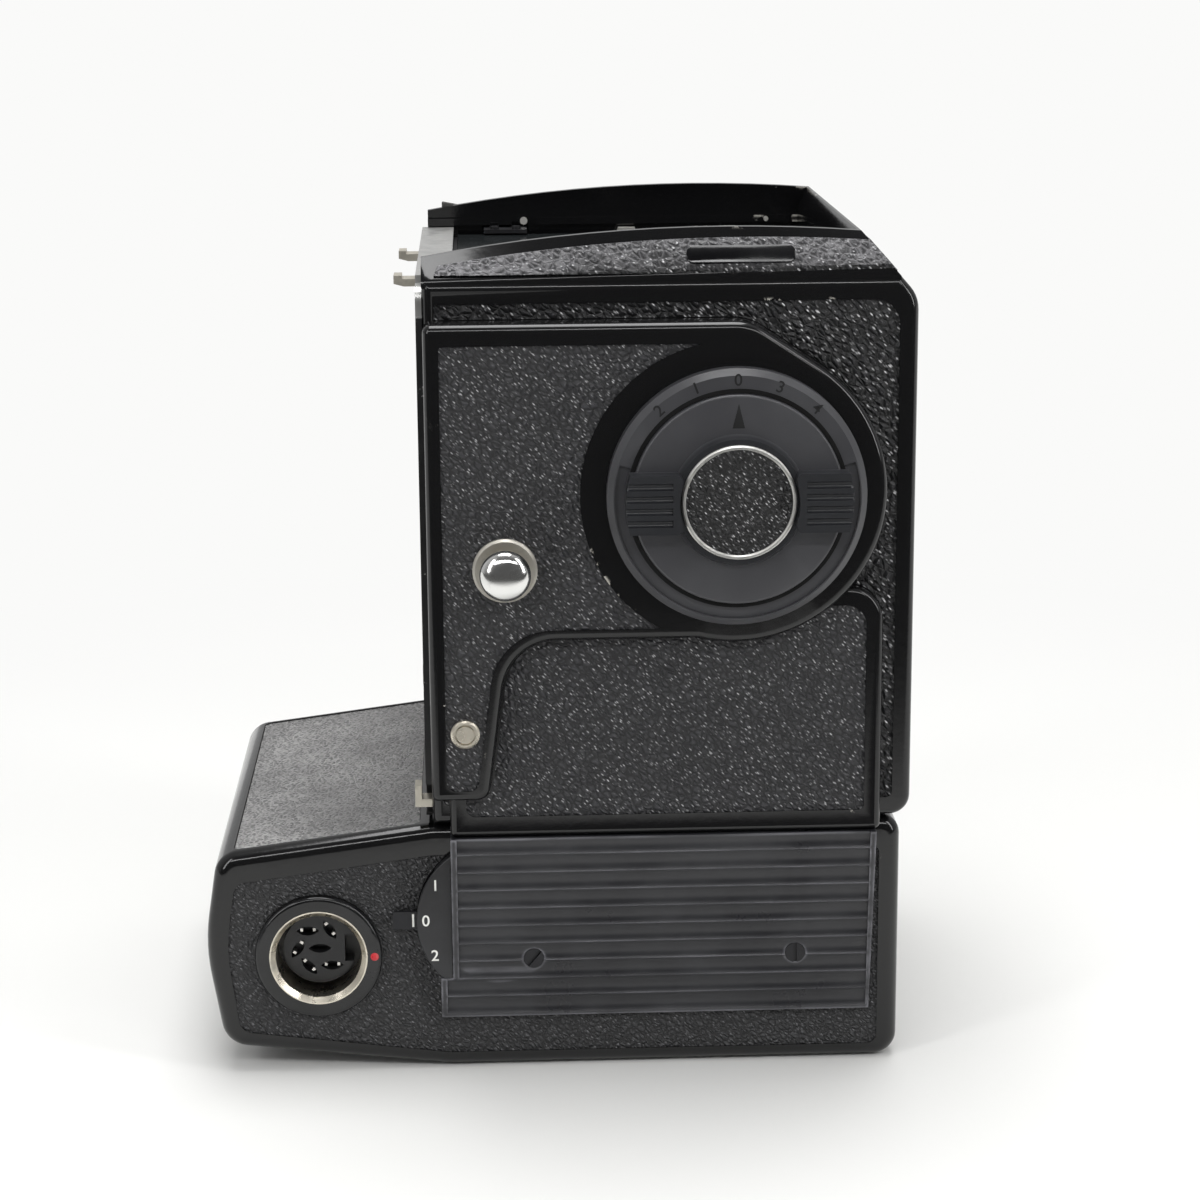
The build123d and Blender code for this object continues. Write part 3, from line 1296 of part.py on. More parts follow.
# Remote socket: black ring, bright shell, and a recessed insert with contacts in lens-shaped slots
socket_floor = base_half - 24.0
insert_face = 3.2
insert_r = 5.45
insert_collar = 6.0         # above its collar the insert stands free in the shell
key_half = 2.1
blade_r = 3.27
blade_slots = [(122, 0), (62, -56), (180, 55), (-121, -48), (-57, 0)]   # place and lie of each slot
blade_slot_length = 3.4
blade_slot_width = 1.4
blade_slot_depth = 2.0


def lens_slot(x, z, lie, length):
    """Lens-shaped slot in the current sketch, drawn from two arcs."""
    ends = [turned(x, z, length / 2, lie), turned(x, z, length / 2, lie + 180)]
    with BuildLine() as outline:
        for side in (90, -90):
            ThreePointArc(ends[0], turned(x, z, blade_slot_width / 2, lie + side), ends[1])
    make_face(outline.edges())


with BuildPart() as socket_ring:
    with BuildSketch(Plane.XZ.offset(base_half)):
        with Locations((socket_x, socket_z)):
            Circle(socket_ring_r)
            Circle(socket_shell_r, mode=Mode.SUBTRACT)
    extrude(amount=0.9)
    outer = socket_ring.edges().filter_by(GeomType.CIRCLE).group_by(Axis.Y)[0]
    fillet(outer.sort_by(SortBy.RADIUS)[-1], 0.7)
pieces["socket_ring"] = socket_ring
with BuildPart() as socket_shell:
    with BuildSketch(Plane.XZ.offset(base_half - socket_floor)):
        with Locations((socket_x, socket_z)):
            Circle(socket_shell_r)
            Circle(socket_bore, mode=Mode.SUBTRACT)
    extrude(amount=socket_floor + 1.0)
    mouth = socket_shell.edges().filter_by(GeomType.CIRCLE).group_by(Axis.Y)[0]
    chamfer(mouth.sort_by(SortBy.RADIUS)[0], 0.7)
pieces["socket_shell"] = socket_shell
with BuildPart() as socket_insert:
    with BuildSketch(Plane.XZ.offset(base_half - socket_floor)):
        with Locations((socket_x, socket_z)):
            Circle(socket_bore)
    extrude(amount=socket_floor - insert_collar)
    with BuildSketch(Plane.XZ.offset(base_half - insert_collar)):
        with Locations((socket_x, socket_z)):
            Circle(insert_r)
        with Locations((socket_x + insert_r, socket_z)):
            Rectangle(3.4, 2 * key_half, mode=Mode.SUBTRACT)
    extrude(amount=insert_collar - insert_face)
    with BuildSketch(Plane.XZ.offset(base_half - insert_face)):
        for angle, lie in blade_slots:
            lens_slot(*turned(socket_x, socket_z, blade_r, angle), lie, blade_slot_length)
        lens_slot(socket_x, socket_z, 0, blade_slot_length)
    extrude(amount=-blade_slot_depth, mode=Mode.SUBTRACT)
pieces["socket_insert"] = socket_insert
with BuildPart() as socket_contacts:
    with BuildSketch(Plane.XZ.offset(base_half - insert_face - blade_slot_depth)):
        for angle, lie in blade_slots:
            slot_at = turned(socket_x, socket_z, blade_r, angle)
            for end in (0, 180):
                with Locations(Location(turned(*slot_at, blade_slot_length / 2 - 0.75, lie + end), lie)):
                    Rectangle(0.4, 0.5)
    extrude(amount=1.5)
pieces["socket_contacts"] = socket_contacts

# Release button in its port at the front of the base, and the plug of the second port
release_r = 4.9
with BuildPart() as release_port:
    with BuildSketch(Plane.YZ.offset(base_front - 4.0)):
        with Locations((port_y, port_z)):
            Circle(port_r)
            Circle(release_r + 0.2, mode=Mode.SUBTRACT)
    extrude(amount=4.0)
    chamfer(release_port.edges().filter_by(GeomType.CIRCLE).group_by(Axis.X)[-1], 0.3)
pieces["release_port"] = release_port
with BuildPart() as release_button:
    with BuildSketch(Plane.YZ.offset(base_front - 3.4)):
        with Locations((port_y, port_z)):
            Circle(release_r)
    extrude(amount=3.2)
    fillet(release_button.edges().filter_by(GeomType.CIRCLE).sort_by(Axis.X)[-1], 0.6)
    with BuildSketch(Plane.YZ.offset(base_front - 6.5)):
        with Locations((port_y, port_z)):
            Circle(1.5)
    extrude(amount=4.0)
pieces["release_button"] = release_button
with BuildPart() as port_plug:
    with BuildSketch(Plane.YZ.offset(base_front - base_wall - 0.3)):
        with Locations((-port_y, port_z)):
            Circle(port_r)
    extrude(amount=base_wall + 0.3)
    with BuildSketch(Plane.YZ.offset(base_front)):
        with Locations((-port_y, port_z)):
            Rectangle(10, 1.4)
    extrude(amount=-1.2, mode=Mode.SUBTRACT)
pieces["port_plug"] = port_plug

# Motor on its bracket
with BuildPart() as motor:
    with BuildSketch(Plane.YZ.offset(motor_rear)):
        with Locations(pinion_centre):
            Circle(motor_r)
    extrude(amount=bracket_x - motor_rear)
    chamfer(motor.edges().filter_by(GeomType.CIRCLE).sort_by(Axis.X)[0], 1.0)
    with BuildSketch(Plane.YZ.offset(motor_rear + motor_wall)):
        with Locations(pinion_centre):
            Circle(motor_r - motor_wall - magnet_t)
    extrude(amount=bracket_x - motor_rear - 2 * motor_wall, mode=Mode.SUBTRACT)
    with BuildSketch(Plane.YZ.offset(motor_rear)):
        with Locations(pinion_centre):
            Circle(motor_shaft_r + shaft_fit)
    extrude(amount=bracket_x - motor_rear, mode=Mode.SUBTRACT)
pieces["motor"] = motor
with BuildPart() as motor_bracket:
    with BuildSketch(Plane.YZ.offset(bracket_x)):
        bracket_low = base_bottom + base_wall
        with Locations((pinion_centre[0], (bracket_low + 35.9) / 2)):
            Rectangle(26, 35.9 - bracket_low)
        with Locations(pinion_centre):
            Circle(motor_shaft_r + 0.4, mode=Mode.SUBTRACT)
        with Locations(transfer_centre):
            Circle(1.2 + shaft_fit, mode=Mode.SUBTRACT)
    extrude(amount=bracket_t)
pieces["motor_bracket"] = motor_bracket

with BuildPart() as release_solenoid:
    with BuildSketch(Plane.YZ.offset(6.0)):
        with Locations((port_y, port_z)):
            Circle(5.5)
    extrude(amount=18.0)
pieces["release_solenoid"] = release_solenoid

board_y = 13.0 - base_half
with BuildPart() as circuit_board:
    with BuildSketch(Plane.XZ.offset(board_y)):
        with Locations((5, 19)):
            Rectangle(38, 27)
    extrude(amount=1.6)
    with BuildSketch(Plane.XZ.offset(board_y)):
        with Locations((-6, 24), (6, 12)):
            Rectangle(9, 6)
        with Locations((16, 24), (-8, 12)):
            Circle(3.0)
    extrude(amount=-4.0)
pieces["circuit_board"] = circuit_board
# Battery cassette: five cells in two rows, drawn out to the left with its cover
cell_r = 7.1
cell_length = 50.5
door_t = 2.4
cell_y = base_half - door_t
cassette_low = 8.0
cassette_high = 31.0
cassette_waist = 18.0
lock_at_door = (-42.2, 21.0)
cells = [(-57.0, 13.0), (-42.2, 13.0), (-27.4, 13.0), (-49.6, 25.8), (-34.8, 25.8)]
with BuildPart() as battery_cassette:
    with BuildSketch(Plane.XZ.offset(-cell_y)):
        with BuildLine():
            Polyline(
                (-62.0, cassette_low), (-22.5, cassette_low), (-22.5, cassette_waist),
                (-30.0, cassette_high), (-54.5, cassette_high), (-62.0, cassette_waist), close=True,
            )
        make_face()
    extrude(amount=cell_length + 1.2)
    with BuildSketch(Plane.XZ.offset(-cell_y)):
        with Locations(*cells):
            Circle(cell_r + seat_gap)
    extrude(amount=cell_length, mode=Mode.SUBTRACT)
pieces["battery_cassette"] = battery_cassette
with BuildPart() as battery_cells:
    with BuildSketch(Plane.XZ.offset(-cell_y)):
        with Locations(*cells):
            Circle(cell_r)
    extrude(amount=cell_length)
pieces["battery_cells"] = battery_cells
with BuildPart() as battery_cover:
    with BuildSketch(Plane.XZ.offset(-cell_y)):
        add(door_outline.sketch)
    extrude(amount=-(base_half - cell_y))
    with BuildSketch(Plane.XZ.offset(-cell_y)):
        with Locations(lock_at_door):
            Circle(1.5 + shaft_fit)
    extrude(amount=-(base_half - cell_y), mode=Mode.SUBTRACT)
pieces["battery_cover"] = battery_cover
with BuildPart() as battery_lock:
    with BuildSketch(Plane.XZ.offset(-base_half)):
        with Locations(lock_at_door):
            Circle(5.0)
    extrude(amount=-1.4)
    with BuildSketch(Plane.XZ.offset(-base_half - 1.4)):
        with Locations(lock_at_door):
            Rectangle(8.0, 1.2)
    extrude(amount=0.8, mode=Mode.SUBTRACT)
    with BuildSketch(Plane.XZ.offset(-cell_y - 0.4)):
        with Locations(lock_at_door):
            Circle(1.5)
    extrude(amount=-(base_half - cell_y - 0.4))
pieces["battery_lock"] = battery_lock


for name, piece in pieces.items():
    piece.part.label = name
    export_step(piece.part, f"parts/{name}.step")
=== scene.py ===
import math

import bmesh
import bpy
from mathutils import Matrix, Vector


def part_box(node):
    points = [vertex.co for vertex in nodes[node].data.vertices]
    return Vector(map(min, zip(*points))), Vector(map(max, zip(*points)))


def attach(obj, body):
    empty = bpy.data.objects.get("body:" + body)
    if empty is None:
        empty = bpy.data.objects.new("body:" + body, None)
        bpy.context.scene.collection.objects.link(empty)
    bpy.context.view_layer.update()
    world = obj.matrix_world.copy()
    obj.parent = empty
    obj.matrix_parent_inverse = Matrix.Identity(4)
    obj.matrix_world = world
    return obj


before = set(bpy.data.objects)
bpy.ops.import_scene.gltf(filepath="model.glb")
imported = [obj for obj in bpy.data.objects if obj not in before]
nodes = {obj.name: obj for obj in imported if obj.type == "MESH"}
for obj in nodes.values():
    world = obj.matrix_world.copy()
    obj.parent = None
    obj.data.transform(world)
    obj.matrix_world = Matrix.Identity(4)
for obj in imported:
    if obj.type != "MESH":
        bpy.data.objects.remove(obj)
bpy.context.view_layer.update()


# Body castings: aluminium alloy, primed and sprayed with a hard black lacquer that flows round
# every edge. Handling rubs it through to the alloy along the sharpest edges.
def linear(code):
    """An sRGB hex colour as linear RGBA."""
    channels = [int(code[i:i + 2], 16) / 255 for i in (1, 3, 5)]
    return tuple(c / 12.92 if c <= 0.04045 else ((c + 0.055) / 1.055) ** 2.4 for c in channels) + (1.0,)


def add(tree, kind, settings, links):
    """Adds a shader node. Settings name its options or, as text or number, its sockets.

    Of a Mix node, socket 0 is the factor, and 6 and 7 are the two colours.
    """
    made = tree.nodes.new(kind)
    for key, value in settings.items():
        if isinstance(key, str) and hasattr(made, key):
            setattr(made, key, value)
        else:
            made.inputs[key].default_value = value
    for key, source in links.items():
        tree.links.new(source, made.inputs[key])
    return made


def start_material(name, settings):
    """A new material with a Principled shader, and the object's own coordinates."""
    material = bpy.data.materials.new(name)
    material.use_nodes = True
    tree = material.node_tree
    tree.nodes.clear()
    shader = add(tree, "ShaderNodeBsdfPrincipled", settings, {})
    add(tree, "ShaderNodeOutputMaterial", {}, {"Surface": shader.outputs["BSDF"]})
    place = add(tree, "ShaderNodeTexCoord", {}, {}).outputs["Object"]
    return material, tree, shader, place


def join(tree, source, shader, socket):
    """Links an output to a socket."""
    tree.links.new(source, shader.inputs[socket])


def across(size_mm):
    """The scale of a pattern whose features are this many millimetres wide."""
    return 1000.0 / size_mm


def lacquer(name, colour, rough, chipping):
    """Sprayed lacquer: a smooth black gloss with a trace of orange peel, chipped through on the edges."""
    material, tree, shader, place = start_material(name, {"IOR": 1.5})
    peel = add(tree, "ShaderNodeTexNoise", {"Scale": across(1.11), "Detail": 2.0}, {"Vector": place})
    cloud = add(tree, "ShaderNodeTexNoise", {"Scale": across(16.7), "Detail": 6.0}, {"Vector": place})
    spread = add(tree, "ShaderNodeMapRange",
                 {"From Min": 0.3, "From Max": 0.7, "To Min": rough, "To Max": rough + 0.07},
                 {"Value": cloud.outputs["Fac"]})
    # Rays sent into the casting find the outer edges, within 0.6 mm
    edge = add(tree, "ShaderNodeAmbientOcclusion",
               {"samples": 8, "inside": True, "only_local": True, "Distance": 0.0006}, {})
    near = add(tree, "ShaderNodeMapRange", {"From Min": 0.9, "From Max": 0.62}, {"Value": edge.outputs["AO"]})
    # Chips of about 2.4 mm come together where hands reach, in regions of 18 mm
    patch = add(tree, "ShaderNodeTexNoise", {"Scale": across(2.381), "Detail": 6.0, "Roughness": 0.6},
                {"Vector": place})
    region = add(tree, "ShaderNodeTexNoise", {"Scale": across(18.18), "Detail": 2.0}, {"Vector": place})
    both = add(tree, "ShaderNodeMath", {"operation": "MULTIPLY"},
               {0: patch.outputs["Fac"], 1: region.outputs["Fac"]})
    bare = add(tree, "ShaderNodeMapRange", {"From Min": chipping, "From Max": chipping + 0.015},
               {"Value": both.outputs[0]})
    worn = add(tree, "ShaderNodeMath", {"operation": "MULTIPLY"},
               {0: near.outputs["Result"], 1: bare.outputs["Result"]})
    tone = add(tree, "ShaderNodeMix", {"data_type": "RGBA", 6: linear(colour), 7: linear("#b9b6ae")},
               {0: worn.outputs[0]})
    join(tree, tone.outputs[2], shader, "Base Color")
    join(tree, spread.outputs["Result"], shader, "Roughness")
    bump = add(tree, "ShaderNodeBump", {"Strength": 0.04, "Distance": 0.0003},
               {"Height": peel.outputs["Fac"]})
    join(tree, bump.outputs["Normal"], shader, "Normal")
    return material


def dress(material, *names):
    """Gives CAD nodes a material, and smooth shading that keeps sharp edges sharp."""
    for name in names:
        node = nodes[name]
        node.data.materials.clear()
        node.data.materials.append(material)
        node.data.shade_smooth()
        weld = node.modifiers.new("merge facets", "WELD")
        weld.merge_threshold = 0.000002
        split = node.modifiers.new("sharp edges", "EDGE_SPLIT")
        split.split_angle = sharp_angle


sharp_angle = math.radians(32)
dress(lacquer("sprayed_black_lacquer", "#0e0e0f", 0.09, 0.4), "body_shell", "lower_panel", "base_housing")
# The raised cover is where the hand lies: the same lacquer, a little duller and more chipped
dress(lacquer("handled_black_lacquer", "#0e0e0f", 0.1, 0.385), "side_cover")


# Leather panels: black leatherette, calendered with a slanting pebble grain of 0.6 to 0.9 mm and glued
# into shallow pockets. The glints of the domes are painted as bright points, the shade in the valleys
# as a darker colour, and faces that look up are lightened by dust and a painted reflection.
def leatherette(name, colour, crest, painted_glint_colour, grain_mm, relief_mm, rough, dust_and_sheen_colour="#98989a"):
    """Pebbled sheet: stretched domes with dull valleys between them, painted darker as shade, and painted
    glints on their tips.
    """
    material, tree, shader, place = start_material(name, {"IOR": 1.5})
    lie = add(tree, "ShaderNodeMapping",
              {"vector_type": "TEXTURE", "Rotation": (0.0, -0.85, 0.3), "Scale": (1.0, 1.0, 1.7)},
              {"Vector": place})
    warp = add(tree, "ShaderNodeTexNoise", {"Scale": 0.6 * across(grain_mm), "Detail": 2.0},
               {"Vector": lie.outputs["Vector"]})
    # The noise bends the rows of domes by up to 0.7 of the grain
    bend = grain_mm * 0.0007
    shift = add(tree, "ShaderNodeVectorMath", {"operation": "MULTIPLY_ADD", 1: (bend, bend, bend)},
                {0: warp.outputs["Color"], 2: lie.outputs["Vector"]})
    cells = add(tree, "ShaderNodeTexVoronoi", {"feature": "DISTANCE_TO_EDGE", "Scale": across(grain_mm)},
                {"Vector": shift.outputs[0]})
    domes = add(tree, "ShaderNodeMapRange",
                {"interpolation_type": "SMOOTHSTEP", "From Min": -0.04, "From Max": 0.42},
                {"Value": cells.outputs["Distance"]})
    # Fine wrinkles of 0.25 mm on top of the grain
    lumps = add(tree, "ShaderNodeTexNoise", {"Scale": across(0.25), "Detail": 2.0}, {"Vector": place})
    height = add(tree, "ShaderNodeMath", {"operation": "MULTIPLY_ADD", 1: 0.3},
                 {0: lumps.outputs["Fac"], 2: domes.outputs["Result"]})
    bump = add(tree, "ShaderNodeBump", {"Strength": 1.0, "Distance": relief_mm / 1000},
               {"Height": height.outputs[0]})
    # The valleys are painted darker than the crests: painted shade in the grain
    tone = add(tree, "ShaderNodeMix", {"data_type": "RGBA", 6: linear(colour), 7: linear(crest)},
               {0: domes.outputs["Result"]})
    # Painted glints on the tips of the pips: short slanting dashes, some brighter than others
    slant = add(tree, "ShaderNodeMapping",
                {"vector_type": "TEXTURE", "Rotation": (0.0, 0.75, 0.3), "Scale": (2.0, 0.6, 0.6)},
                {"Vector": place})
    pips = add(tree, "ShaderNodeTexVoronoi", {"Scale": across(0.8 * grain_mm)},
               {"Vector": slant.outputs["Vector"]})
    tip = add(tree, "ShaderNodeMapRange",
              {"interpolation_type": "SMOOTHSTEP", "From Min": 0.36, "From Max": 0.12},
              {"Value": pips.outputs["Distance"]})
    lot = add(tree, "ShaderNodeSeparateColor", {}, {0: pips.outputs["Color"]})
    glint_strength = add(tree, "ShaderNodeMapRange", {"From Min": 0.1, "From Max": 1.0}, {"Value": lot.outputs[0]})
    painted_highlight = add(tree, "ShaderNodeMath", {"operation": "MULTIPLY"},
                 {0: tip.outputs["Result"], 1: glint_strength.outputs["Result"]})
    shiny = add(tree, "ShaderNodeMix", {"data_type": "RGBA", 7: linear(painted_glint_colour)},
                {0: painted_highlight.outputs[0], 6: tone.outputs[2]})
    # Faces that look up are lightened in patches of 14 mm, most in the valleys: dust, together with a painted
    # reflection of the bright room
    surface = add(tree, "ShaderNodeNewGeometry", {}, {})
    facing = add(tree, "ShaderNodeSeparateXYZ", {}, {0: surface.outputs["Normal"]})
    upward = add(tree, "ShaderNodeMapRange", {"From Min": 0.2, "From Max": 0.7},
                 {"Value": facing.outputs["Z"]})
    dust_and_sheen_patches = add(tree, "ShaderNodeTexNoise", {"Scale": across(14.3), "Detail": 6.0}, {"Vector": place})
    patchy_dust_and_sheen = add(tree, "ShaderNodeMapRange",
                  {"From Min": 0.3, "From Max": 0.75, "To Min": 0.45, "To Max": 0.95},
                  {"Value": dust_and_sheen_patches.outputs["Fac"]})
    valley = add(tree, "ShaderNodeMapRange",
                 {"From Min": 0.15, "From Max": 0.85, "To Min": 1.0, "To Max": 0.12},
                 {"Value": domes.outputs["Result"]})
    top_dust_and_sheen = add(tree, "ShaderNodeMath", {"operation": "MULTIPLY"},
                 {0: upward.outputs["Result"], 1: patchy_dust_and_sheen.outputs["Result"]})
    dust = add(tree, "ShaderNodeMath", {"operation": "MULTIPLY"},
               {0: top_dust_and_sheen.outputs[0], 1: valley.outputs["Result"]})
    dusty = add(tree, "ShaderNodeMix", {"data_type": "RGBA", 7: linear(dust_and_sheen_colour)},
                {0: dust.outputs[0], 6: shiny.outputs[2]})
    sheen = add(tree, "ShaderNodeMapRange", {"To Min": rough + 0.3, "To Max": rough},
                {"Value": domes.outputs["Result"]})
    join(tree, dusty.outputs[2], shader, "Base Color")
    join(tree, sheen.outputs["Result"], shader, "Roughness")
    join(tree, bump.outputs["Normal"], shader, "Normal")
    return material


# The body has the coarse sheet with brightly painted glints on the tips, the dial's disc a piece of a finer
# one
dress(leatherette("pebbled_leatherette", "#080809", "#2d2d2f", "#dcdcde", 0.9, 0.45, 0.24, dust_and_sheen_colour="#8e8d90"),
      "body_leather", "front_leather")
dress(leatherette("dial_leatherette", "#070708", "#242426", "#c6c6c8", 0.65, 0.35, 0.24), "dial_leather")
# Palms have greyed the sheet of the cover and the panel, and the flat one of the base is lightened on top by
# dust and a painted reflection
dress(leatherette("fine_pebbled_leatherette", "#1a1a1c", "#343437", "#aeaeb0", 0.72, 0.32, 0.28),
      "side_cover_leather", "lower_panel_leather")
dress(leatherette("base_leatherette", "#1d1d1e", "#363638", "#77777a", 0.62, 0.26, 0.32, dust_and_sheen_colour="#aeadac"),
      "base_leather")


# Bare name plate on the shoulder: a black plastic bar with rounded ends, let into the leather.
def piece(name, mesh, body, material):
    """Turns a bmesh in millimetres into a finished piece that rides on a body."""
    bmesh.ops.scale(mesh, vec=(0.001, 0.001, 0.001), verts=mesh.verts)
    bmesh.ops.recalc_face_normals(mesh, faces=mesh.faces)
    data = bpy.data.meshes.new(name)
    mesh.to_mesh(data)
    mesh.free()
    made = bpy.data.objects.new(name, data)
    bpy.context.scene.collection.objects.link(made)
    data.materials.append(material)
    data.shade_smooth()
    split = made.modifiers.new("sharp edges", "EDGE_SPLIT")
    split.split_angle = sharp_angle
    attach(made, body)


def moulded(name, colour, rough, grit_mm, depth, dust=0.35):
    """Moulded plastic with an eroded mould finish, a film of grey dust and patches of polish."""
    material, tree, shader, place = start_material(name, {"IOR": 1.49})
    grit = add(tree, "ShaderNodeTexNoise", {"Scale": across(grit_mm), "Detail": 3.0}, {"Vector": place})
    cloud = add(tree, "ShaderNodeTexNoise", {"Scale": across(11.1), "Detail": 6.0, "Roughness": 0.6},
                {"Vector": place})
    dusty = add(tree, "ShaderNodeMapRange", {"From Min": 0.4, "From Max": 0.9, "To Max": dust},
                {"Value": cloud.outputs["Fac"]})
    tone = add(tree, "ShaderNodeMix", {"data_type": "RGBA", 6: linear(colour), 7: linear("#505154")},
               {0: dusty.outputs["Result"]})
    polish = add(tree, "ShaderNodeMapRange",
                 {"From Min": 0.35, "From Max": 0.7, "To Min": rough - 0.05, "To Max": rough + 0.1},
                 {"Value": cloud.outputs["Fac"]})
    bump = add(tree, "ShaderNodeBump", {"Strength": depth, "Distance": 0.0001},
               {"Height": grit.outputs["Fac"]})
    join(tree, tone.outputs[2], shader, "Base Color")
    join(tree, polish.outputs["Result"], shader, "Roughness")
    join(tree, bump.outputs["Normal"], shader, "Normal")
    return material


bar_size = (15.5, 0.5, 2.8)
bar_corner = 1.1
bar_brim = 0.12
bar_middle = (10.55, -35.62, 122.3)
shoulder_slope = Matrix.Rotation(math.radians(-31.7), 3, "X")
# Polished acrylic: black, with the sharp reflection of a hard surface
bar_acrylic = moulded("bar_black_acrylic", "#08080a", 0.12, 0.5, 0.02, dust=0.1)

name_bar = bmesh.new()
bmesh.ops.create_cube(name_bar, size=1.0)
bmesh.ops.scale(name_bar, vec=bar_size, verts=name_bar.verts)
ends = [edge for edge in name_bar.edges if abs(edge.verts[0].co.y - edge.verts[1].co.y) > bar_size[1] / 2]
bmesh.ops.bevel(name_bar, geom=ends, offset=bar_corner, segments=6, profile=0.5, affect="EDGES", material=-1)
brim = [edge for edge in name_bar.edges if all(vert.co.y < 0 for vert in edge.verts)]
bmesh.ops.bevel(name_bar, geom=brim, offset=bar_brim, segments=2, profile=0.5, affect="EDGES", material=-1)
bmesh.ops.rotate(name_bar, cent=(0, 0, 0), matrix=shoulder_slope, verts=name_bar.verts)
bmesh.ops.translate(name_bar, vec=bar_middle, verts=name_bar.verts)
piece("shoulder_name_bar", name_bar, "camera", bar_acrylic)


# Selector dial: a disc of black glass-filled nylon with two ribbed finger blocks, in a ring of the
# same plastic. An engraved arrow on the disc points to engraved plain numbers on the ring.
def reopen(material):
    """The nodes, the shader, its colour so far and the object's coordinates of a finished material."""
    tree = material.node_tree
    shader = next(node for node in tree.nodes if node.bl_idname == "ShaderNodeBsdfPrincipled")
    place = next(node for node in tree.nodes if node.bl_idname == "ShaderNodeTexCoord").outputs["Object"]
    return tree, shader, shader.inputs["Base Color"].links[0].from_socket, place


disc_face = 46.0
# Semi-matt nylon, greyed by light and handled until it shines a little
dress(moulded("moulded_black_nylon", "#3a3a3d", 0.36, 0.25, 0.12), "index_ring")
handled_nylon = moulded("handled_black_nylon", "#3b3b3e", 0.34, 0.25, 0.12)
tree, shader, colour, place = reopen(handled_nylon)
# The finger blocks, which rise 0.2 mm and more above the disc's face, are a shade darker
depth = add(tree, "ShaderNodeSeparateXYZ", {}, {0: place})
blocks = add(tree, "ShaderNodeMapRange",
             {"From Min": -(disc_face + 0.2) / 1000, "From Max": -(disc_face + 0.6) / 1000},
             {"Value": depth.outputs["Y"]})
shade = add(tree, "ShaderNodeMix", {"data_type": "RGBA", 7: linear("#242528")},
            {0: blocks.outputs["Result"], 6: colour})
join(tree, shade.outputs[2], shader, "Base Color")
dress(handled_nylon, "mode_dial")


def on_side(mesh, x, z, depth):
    """Stands a mesh drawn in XY upright on the dial side, facing the viewer, in millimetres."""
    turn = Matrix(((1, 0, 0), (0, 0, -1), (0, 1, 0))).to_4x4()
    bmesh.ops.transform(mesh, matrix=Matrix.Translation((x, -depth, z)) @ turn, verts=mesh.verts)


def lettering(text, size, height):
    """A number as a thin bmesh in XY, centred, in millimetres."""
    curve = bpy.data.curves.new("digit", "FONT")
    curve.body = text
    curve.size = size
    curve.extrude = height / 2
    curve.offset = 0.01 * size
    curve.align_x = "CENTER"
    curve.align_y = "CENTER"
    holder = bpy.data.objects.new("digit", curve)
    bpy.context.scene.collection.objects.link(holder)
    data = bpy.data.meshes.new_from_object(holder)
    made = bmesh.new()
    made.from_mesh(data)
    bpy.data.objects.remove(holder)
    bpy.data.curves.remove(curve)
    bpy.data.meshes.remove(data)
    return made


def gather(whole, part):
    """Moves the mesh of one bmesh into another."""
    data = bpy.data.meshes.new("part")
    part.to_mesh(data)
    part.free()
    whole.from_mesh(data)
    bpy.data.meshes.remove(data)


dial_x, dial_z = 9.4, 88.9
ring_face = -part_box("index_ring")[0].y * 1000
number_radius = 16.9
number_size = 2.35
# Cut with a graver into the nylon: a dull bottom, whose shade is painted as a darker colour
engraving_with_painted_shade = moulded("engraved_nylon_painted_shade", "#0c0c0d", 0.6, 0.3, 0.05, dust=0.1)
numbers = bmesh.new()
for text, angle in (("2", 41), ("1", 20.5), ("0", 0), ("3", -20.5), ("4", -41)):
    digit = lettering(text, number_size, 0.06)
    spot = Matrix.Rotation(math.radians(angle), 4, "Z") @ Matrix.Translation((0, number_radius, 0))
    bmesh.ops.transform(digit, matrix=spot, verts=digit.verts)
    gather(numbers, digit)
on_side(numbers, dial_x, dial_z, ring_face)
piece("dial_numbers", numbers, "camera", engraving_with_painted_shade)

# The arrow is a deeper cut that turns with the disc; its shade is painted as a darker colour
arrow_length = 3.5
arrow_foot = 10.3
arrow_proud = 0.02
arrow = bmesh.new()
bmesh.ops.create_cone(arrow, cap_ends=True, segments=3, radius1=1.0, radius2=1.0, depth=2 * arrow_proud)
low = min(vert.co.y for vert in arrow.verts)
stretch = arrow_length / (max(vert.co.y for vert in arrow.verts) - low)
bmesh.ops.scale(arrow, vec=(1.0, stretch, 1.0), verts=arrow.verts)
bmesh.ops.translate(arrow, vec=(0, arrow_foot - low * stretch, 0), verts=arrow.verts)
on_side(arrow, dial_x, dial_z, disc_face + arrow_proud)
piece("dial_arrow", arrow, "dial", moulded("engraved_arrow_painted_shade", "#060607", 0.6, 0.3, 0.05))

# Painted shadow: a flat black ring on the ring's inner edge, which stands for the dark gap round the disc
shadow_inner, shadow_outer = 15.1, 15.75
shadow_proud = 0.03
gap_shadow_paint = moulded("painted_gap_shadow", "#020202", 0.9, 0.2, 0.3, dust=0.0)
gap_shadow = bmesh.new()
rim = [gap_shadow.verts.new((radius, 0, shadow_proud)) for radius in (shadow_inner, shadow_outer)]
bmesh.ops.spin(gap_shadow, geom=rim + [gap_shadow.edges.new(rim)], cent=(0, 0, 0), axis=(0, 0, 1), angle=2 * math.pi,
               steps=96, use_merge=True)
on_side(gap_shadow, dial_x, dial_z, ring_face)
piece("dial_gap_shadow", gap_shadow, "camera", gap_shadow_paint)


